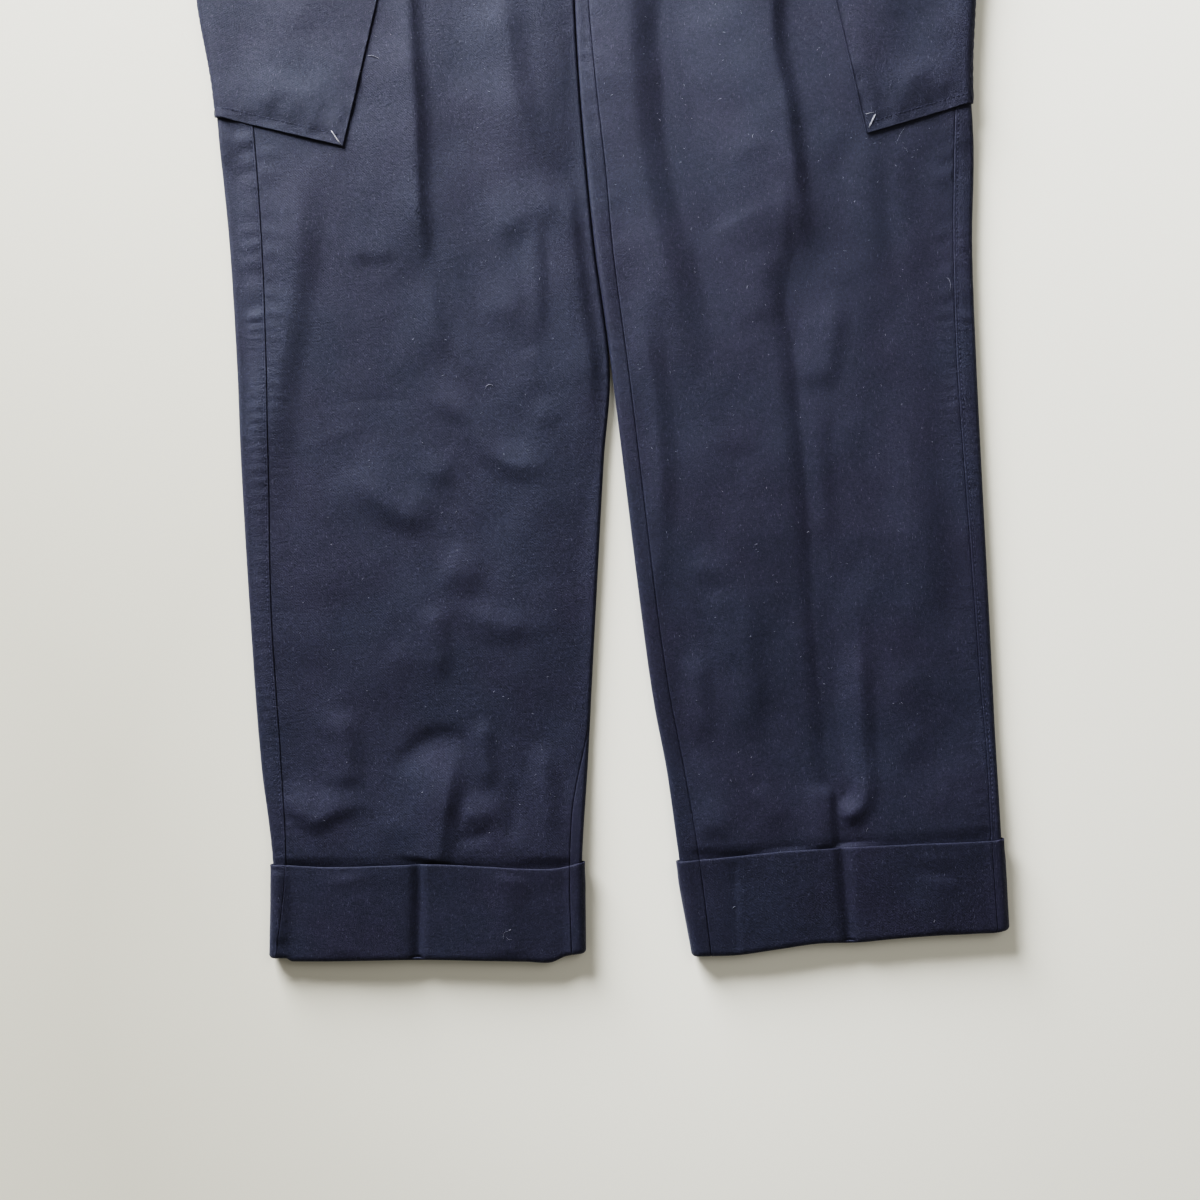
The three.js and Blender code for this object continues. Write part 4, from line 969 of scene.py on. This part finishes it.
# Points and normals on a piece's upper face above places in the plan: the mean of the nearest four
# vertices, weighted by one over their squared distance. On a turn-up the cloth's other face is up.
def upperFace(name, places, above=0.0, turnedOver=False, leastUp=0.3, near=4):
    points, normals = (values.reshape(-1, 3) for values in surfaces[name])
    if turnedOver:
        points, normals = points - normals * trousers["turnUpCloth"], -normals
    facing = (normals[:, 2] > leastUp) & (points[:, 2] > above)
    points, normals = points[facing], normals[facing]
    apart = ((places[:, None] - points[None, :, :2]) ** 2).sum(2)
    nearest = np.argpartition(apart, near, axis=1)[:, :near]
    weight = 1 / (np.take_along_axis(apart, nearest, 1) + 0.01)
    weight = (weight / weight.sum(1, keepdims=True))[..., None]
    return (points[nearest] * weight).sum(1), (normals[nearest] * weight).sum(1)


# Places in the plan from their x, each with its own y or all with one
def inPlan(x, y):
    return np.stack([x, y + 0 * x], axis=-1)


# The fly's stitching on the left front: down beside the centre, then round to it in a quarter ellipse
fly = dict(width=30.0, top=962.0, turnFrom=842.0, turnDrop=36.0, step=4.0)
turned = np.linspace(0, math.pi / 2, 24)
flyY = np.arange(fly["top"], fly["turnFrom"], -fly["step"])
flyOut = np.concatenate([np.ones(len(flyY)), np.cos(turned)])
flyY = np.concatenate([flyY, fly["turnFrom"] - fly["turnDrop"] * np.sin(turned)])
flyX = meeting(flyY) - trousers["flyLap"] + 2 + (fly["width"] + trousers["flyLap"]) * flyOut
sew(upperFace("front_left", inPlan(flyX, flyY)), 68)
starts, ends, normals = (np.concatenate(values) for values in zip(*stitches))
threadMesh("stitches", starts, ends, normals, thread["radius"], thread["bow"], thread["sink"])

# The buttonhole: short stitches close together along both sides of a slit, and a bar across its end
buttonLow, buttonHigh = (np.array(corner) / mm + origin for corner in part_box("waist_button"))
buttonX, buttonY, _ = (buttonLow + buttonHigh) / 2
slit = dict(start=-3.0, end=18.0, pitch=0.7, inner=0.3, width=1.9, bar=2.6, barPitch=0.6, radius=0.26)
slitX = buttonX + np.arange(slit["start"], slit["end"], slit["pitch"])
barX = buttonX + slit["end"] + np.arange(3) * slit["barPitch"]
lapHeight = 3 * trousers["bandCloth"] - 1
halves = []
for way in (1, -1):
    inner = np.concatenate([inPlan(slitX, buttonY + way * slit["inner"]), inPlan(barX, buttonY)])
    outer = [inPlan(slitX, buttonY + way * slit["width"]), inPlan(barX, buttonY + way * slit["bar"])]
    start, up = upperFace("waistband", inner, above=lapHeight)
    end, _ = upperFace("waistband", np.concatenate(outer), above=lapHeight)
    halves.append((start, end, up))
starts, ends, normals = (np.concatenate(values) for values in zip(*halves))
threadMesh("buttonhole", starts, ends, normals, slit["radius"], 0.25, 0.05)

# The button's thread: two bundles of three, from hole to hole across its top
holes = dict(out=1.9, apart=0.35, sunk=0.25)
hole, apart, top = holes["out"], holes["apart"], buttonHigh[2] - holes["sunk"]
threadX = np.array([way * hole + aside for way in (-1, 1) for aside in (-apart, 0, apart)]) + buttonX
crossing = [together(threadX, buttonY + out, top).T for out in (-hole, hole)]
threadMesh("button_thread", *crossing, np.tile([0.0, 0.0, 1.0], (6, 1)), 0.2, 0.75, 0)

# Pale bar tacks at the pockets' free corners, each two threads from end to end, with their radius
tacks = dict(
    right=[(-178.9, 553.4, -172.6, 544.4, 0.16)],
    left=[(178.9, 555.4, 182.9, 564.1, 0.16), (176.6, 564.8, 182.2, 565.5, 0.06)],
)
tackThreads = []
for side, rows in tacks.items():
    for x1, y1, x2, y2, radius in rows:
        for shift in (-0.18, 0.18):
            places = np.array([(x1 + shift, y1 + shift / 2), (x2 + shift, y2 + shift / 2)])
            (start, end), up = upperFace("cargo_pocket_" + side, places, above=3)
            tackThreads.append((start, end, up[0], radius))
threadMesh("corner_tacks", *(np.array(values) for values in zip(*tackThreads)), 0.3, 0.05)

# Lint: the fibres that can be told apart, each by its place, length, angle in degrees, sideways curl and
# radius, and many small ones scattered over the legs, denser high on the left one
lint = dict(
    front_right=[
        (-150.5, 602, 9, -18, 0.8, 0.12), (-163, 584, 2, 60, 0.3, 0.1), (-168, 561, 1.5, 20, 0.2, 0.1),
        (-73.7, 382.6, 6, 15, 2.4, 0.11), (-96, 300, 1.4, 40, 0.1, 0.1), (-40, 455, 1.2, 100, 0.2, 0.1),
    ],
    front_left=[
        (167, 604, 7, -75, 0.9, 0.1), (8, 577.5, 1.6, 30, 0.2, 0.12), (39.5, 561.5, 1.8, -50, 0.3, 0.11),
        (101.8, 550, 2.4, 70, 0.4, 0.12), (114.6, 552.8, 2, 10, 0.3, 0.11), (61, 489, 2, 60, 0.3, 0.11),
        (65.7, 497, 1.6, -30, 0.2, 0.1), (98.5, 450, 2.2, 80, 0.5, 0.12), (82.4, 619, 1.6, 0, 0.2, 0.1),
        (38.2, 585.6, 1.4, 45, 0.2, 0.1), (56.3, 585, 1.6, 120, 0.2, 0.1), (152.8, 591, 1.6, 80, 0.3, 0.1),
        (178, 88, 2.4, 60, 0.4, 0.08), (232, 452, 9, -80, 1.5, 0.07), (80, 575, 1.4, 10, 0.1, 0.1),
        (200.3, 550.5, 13, 62, 0.8, 0.05), (203, 541, 5, -48, 0.6, 0.05),
    ],
    cuff_right=[
        (-59.6, 22.1, 1.2, 50, 0.1, 0.15), (-62, 19, 7, 60, 2.0, 0.05), (-60, 17, 4, -20, -1.2, 0.05),
    ],
    cuff_left=[(89, 37, 2, 30, 0.3, 0.1), (222, 28, 2.2, 70, 0.3, 0.08)],
)
scattered = dict(low=85.0, reach=560.0, ranges=((0.4, 1.3), (0, 180), (-0.2, 0.2), (0.05, 0.09)))
rng = np.random.default_rng(71)
fibres = []
for name, rows in lint.items():
    isCuff = name.startswith("cuff")
    table = np.array(rows)
    if not isCuff:
        leg = rightLeg if name.endswith("right") else leftLeg
        count, power = leg["smallLint"]
        up = leg["hem"] + scattered["low"] + scattered["reach"] * rng.uniform(0, 1, count) ** power
        x = mix(leg["sideSeam"](up), leg["innerFold"](up), rng.uniform(0.06, 0.94, count))
        others = [rng.uniform(low, high, count) for low, high in scattered["ranges"]]
        table = np.concatenate([table, np.stack([x, up, *others], axis=-1)])
    x, y, length, angle, curl, width = table.T
    step = inPlan(np.cos(np.radians(angle)), np.sin(np.radians(angle))) * length[:, None] / 2
    piece = name.replace("cuff", "front")
    start, up = upperFace(piece, inPlan(x, y) - step, turnedOver=isCuff)
    end, _ = upperFace(piece, inPlan(x, y) + step, turnedOver=isCuff)
    fibres.append((start, end, up, width, curl))
starts, ends, normals, width, curl = (np.concatenate(values) for values in zip(*fibres))
threadMesh("lint", starts, ends, normals, width, 0.15, -0.08, curl)
print("stitches, tacks and lint made")


# The light's own -z axis is turned towards its target
def areaLight(name, place, target, size, power, colour):
    data = bpy.data.lights.new(name, "AREA")
    data.shape, data.size, data.size_y = "RECTANGLE", size[0], size[1]
    data.energy, data.color = power, colour
    light = bpy.data.objects.new(name, data)
    light.location = place
    direction = np.array(target) - np.array(place)
    yaw, pitch = math.atan2(direction[1], direction[0]), math.acos(-direction[2] / np.linalg.norm(direction))
    light.rotation_euler = (pitch, 0, yaw - math.pi / 2)
    bpy.context.scene.collection.objects.link(light)


# A broad window past the waist, to the left, and a weak warm light high on the right
lights = dict(
    window=dict(place=(-1.7, 2.65, 1.02), target=(0, -0.2, 0), size=(1.8, 1.4), power=830,
                colour=(0.98, 0.985, 1.0)),
    room=dict(place=(1.5, 1.1, 2.6), target=(0.1, 0, 0), size=(1.6, 1.6), power=30,
              colour=(1.0, 0.97, 0.92)),
)
for name, light in lights.items():
    areaLight(name, **light)
surroundings = dict(colour=(1.0, 0.95, 0.84, 1), strength=0.38)
world = bpy.data.worlds.new("room")
world.use_nodes = True
background = world.node_tree.nodes["Background"].inputs
background["Color"].default_value = surroundings["colour"]
background["Strength"].default_value = surroundings["strength"]
bpy.context.scene.world = world

# The floor: a pale square, with painted shade that darkens it towards the lower left and a faint round pool
# of painted light by the hems
backdrop = dict(
    half=3.0, dark=(0.60, 0.58, 0.51, 1), pale=(0.97, 0.96, 0.89, 1), towards=(0.8, 0.5, 0),
    paintedLightAt=(-0.25, 1.1, 0), paintedLightScale=(2.2, 2.2, 2.2), paintedLight=0.75, roughness=0.75,
)
s = backdrop["half"]
floorMesh = bpy.data.meshes.new("floor")
floorMesh.from_pydata([(-s, -s, 0), (s, -s, 0), (s, s, 0), (-s, s, 0)], [], [(0, 1, 2, 3)])
floor = bpy.data.objects.new("floor", floorMesh)
bpy.context.scene.collection.objects.link(floor)


def newMaterial(name):
    material = bpy.data.materials.new(name)
    material.use_nodes = True
    return material, material.node_tree, material.node_tree.nodes["Principled BSDF"]


# Sets a node's inputs, by name or number: a socket is linked to it, any other value is its default
def setInputs(tree, node, inputs):
    for key, value in inputs.items():
        if isinstance(value, bpy.types.NodeSocket):
            tree.links.new(value, node.inputs[key])
        else:
            node.inputs[key].default_value = value


def addNode(tree, kind, inputs, **settings):
    node = tree.nodes.new(kind)
    for key, value in settings.items():
        setattr(node, key, value)
    setInputs(tree, node, inputs)
    return node


def calculate(tree, operation, a, b):
    return addNode(tree, "ShaderNodeMath", {0: a, 1: b}, operation=operation).outputs[0]


def mixColour(tree, share, a, b):
    inputs = {0: share, 6: a, 7: b}
    return addNode(tree, "ShaderNodeMix", inputs, data_type="RGBA", blend_type="MIX").outputs[2]


def mapping(tree, vector, **inputs):
    return addNode(tree, "ShaderNodeMapping", {"Vector": vector, **inputs}).outputs["Vector"]


def noise(tree, vector, scale, detail, roughness):
    inputs = {"Vector": vector, "Scale": scale, "Detail": detail, "Roughness": roughness}
    return addNode(tree, "ShaderNodeTexNoise", inputs).outputs["Fac"]


def remap(tree, value, low, high, newLow=0.0, newHigh=1.0):
    inputs = {"Value": value, "From Min": low, "From Max": high, "To Min": newLow, "To Max": newHigh}
    return addNode(tree, "ShaderNodeMapRange", inputs).outputs["Result"]


# Brushed flannel: a melange of two navies and a few pale fibres, clouded at three sizes, over a faint
# twill. Colour, roughness and the height of nap and weave come out. The fibres are noise stretched along
# three directions, and only its peaks show.
def buildWoolGroup():
    group = bpy.data.node_groups.new("brushed flannel", "ShaderNodeTree")
    entering = dict(Cool="Color", Warm="Color", Pale="Color", Weave="Float", Nap="Float")
    leaving = dict(Colour="Color", Roughness="Float", Height="Float")
    for way, sockets in (("INPUT", entering), ("OUTPUT", leaving)):
        for name, kind in sockets.items():
            group.interface.new_socket(name, in_out=way, socket_type="NodeSocket" + kind)
    given = group.nodes.new("NodeGroupInput").outputs
    place = group.nodes.new("ShaderNodeTexCoord").outputs
    cloud = remap(group, noise(group, place["Object"], 13, 3, 0.55), 0.38, 0.62)
    colour = mixColour(group, cloud, given["Cool"], given["Warm"])
    blotch = remap(group, noise(group, place["Object"], 150, 4, 0.65), 0.3, 0.7, 0.8, 1.2)
    grain = remap(group, noise(group, place["Object"], 520, 4, 0.95), 0.3, 0.7, 0.25, 1.75)
    runs = []
    for turn in (0.5, -0.6, 2.0):
        along = mapping(group, place["UV"], Rotation=(0, 0, turn), Scale=(1, 0.16, 1))
        runs.append(noise(group, along, 1500, 2, 0.6))
    fibres = calculate(group, "MAXIMUM", calculate(group, "MAXIMUM", runs[0], runs[1]), runs[2])
    paleFibre = remap(group, fibres, 0.66, 0.77, 0, 0.5)
    tone = calculate(group, "MULTIPLY", blotch, grain)
    scaled = addNode(group, "ShaderNodeVectorMath", {0: colour, "Scale": tone}, operation="SCALE")
    colour = mixColour(group, paleFibre, scaled.outputs["Vector"], given["Pale"])
    wave = addNode(group, "ShaderNodeTexWave", {
        "Vector": mapping(group, place["UV"], Rotation=(0, 0, 0.785)),
        "Scale": 230, "Distortion": 2.2, "Detail": 2, "Detail Scale": 2.0,
    })
    weave = calculate(group, "MULTIPLY", wave.outputs["Fac"], given["Weave"])
    rough = calculate(group, "ADD", fibres, calculate(group, "MULTIPLY", grain, 0.6))
    nap = calculate(group, "MULTIPLY", rough, given["Nap"])
    addNode(group, "NodeGroupOutput", {
        "Colour": colour, "Roughness": remap(group, grain, 0.6, 1.4, 0.64, 0.56),
        "Height": calculate(group, "ADD", weave, nap),
    })
    return group


# The finishes of cloth and thread: the two colours of the melange, its pale fibres, how much the weave
# shows, and how much the nap
woolKinds = {
    "navy wool flannel": ((0.0092, 0.0111, 0.0205), (0.01, 0.0097, 0.0192), (0.13, 0.136, 0.19), 0.22, 1.3),
    "navy thread": ((0.03, 0.034, 0.06), (0.03, 0.032, 0.055), (0.2, 0.2, 0.25), 0.2, 0.3),
    "pale lint": ((0.26, 0.28, 0.34), (0.28, 0.28, 0.33), (0.4, 0.4, 0.45), 0.2, 0.3),
    "pale thread": ((0.42, 0.44, 0.5), (0.45, 0.44, 0.47), (0.6, 0.6, 0.65), 0.2, 0.3),
}
woolGroup = buildWoolGroup()


def woolMaterial(name):
    material, tree, shader = newMaterial(name)
    cool, warm, pale, weave, nap = woolKinds[name]
    inputs = dict(Cool=(*cool, 1), Warm=(*warm, 1), Pale=(*pale, 1), Weave=weave, Nap=nap)
    cloth = tree.nodes.new("ShaderNodeGroup")
    cloth.node_tree = woolGroup
    setInputs(tree, cloth, inputs)
    height = {"Strength": 0.5, "Distance": 0.0004, "Height": cloth.outputs["Height"]}
    setInputs(tree, shader, {
        "Base Color": cloth.outputs["Colour"], "Roughness": cloth.outputs["Roughness"],
        "Normal": addNode(tree, "ShaderNodeBump", height).outputs["Normal"],
        "Sheen Weight": 0.09, "Sheen Roughness": 0.4, "Sheen Tint": (0.5, 0.57, 0.88, 1),
        "Specular IOR Level": 0.45, "Specular Tint": (0.67, 0.74, 1.0, 1),
    })
    return material


woolFinishes = {name: woolMaterial(name) for name in woolKinds}

hornFinish, tree, shader = newMaterial("dark horn")
place = tree.nodes.new("ShaderNodeTexCoord").outputs["Object"]
streaks = mapping(tree, place, Scale=(1, 0.25, 1), Rotation=(0, 0, 0.5))
cloudy = remap(tree, noise(tree, streaks, 420, 3, 0.6), 0.35, 0.65)
horn = mixColour(tree, cloudy, (0.012, 0.010, 0.010, 1), (0.045, 0.032, 0.024, 1))
setInputs(tree, shader, {"Base Color": horn, "Roughness": 0.32})

# The floor's painted shade runs from dark to pale along one direction, and the round pool of painted light
# fades out all round
floorFinish, tree, shader = newMaterial("pale floor")
place = tree.nodes.new("ShaderNodeTexCoord").outputs["Object"]
inputs = {0: place, 1: backdrop["towards"]}
across = addNode(tree, "ShaderNodeVectorMath", inputs, operation="DOT_PRODUCT").outputs["Value"]
paintedShadeAndLight = mixColour(tree, remap(tree, across, -0.45, 0.4), backdrop["dark"], backdrop["pale"])
spread = mapping(tree, place, Location=backdrop["paintedLightAt"], Scale=backdrop["paintedLightScale"])
paintedLight = addNode(tree, "ShaderNodeTexGradient", {"Vector": spread}, gradient_type="SPHERICAL").outputs["Fac"]
paintedShadeAndLight = mixColour(tree, remap(tree, paintedLight, 0, 1, 0, backdrop["paintedLight"]), paintedShadeAndLight, backdrop["pale"])
setInputs(tree, shader, {"Base Color": paintedShadeAndLight, "Roughness": backdrop["roughness"]})
floorMesh.materials.append(floorFinish)
print("materials made")

finishNames = dict(stitches="navy thread", buttonhole="navy thread", button_thread="navy thread",
                   corner_tacks="pale thread", lint="pale lint")
for name, piece in pieces.items():
    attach(piece, "root")
    piece.data.materials.append(woolFinishes[finishNames.get(name, "navy wool flannel")])
    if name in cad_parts:
        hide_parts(name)
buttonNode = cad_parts["waist_button"]
buttonNode.data.materials.clear()
buttonNode.data.materials.append(hornFinish)
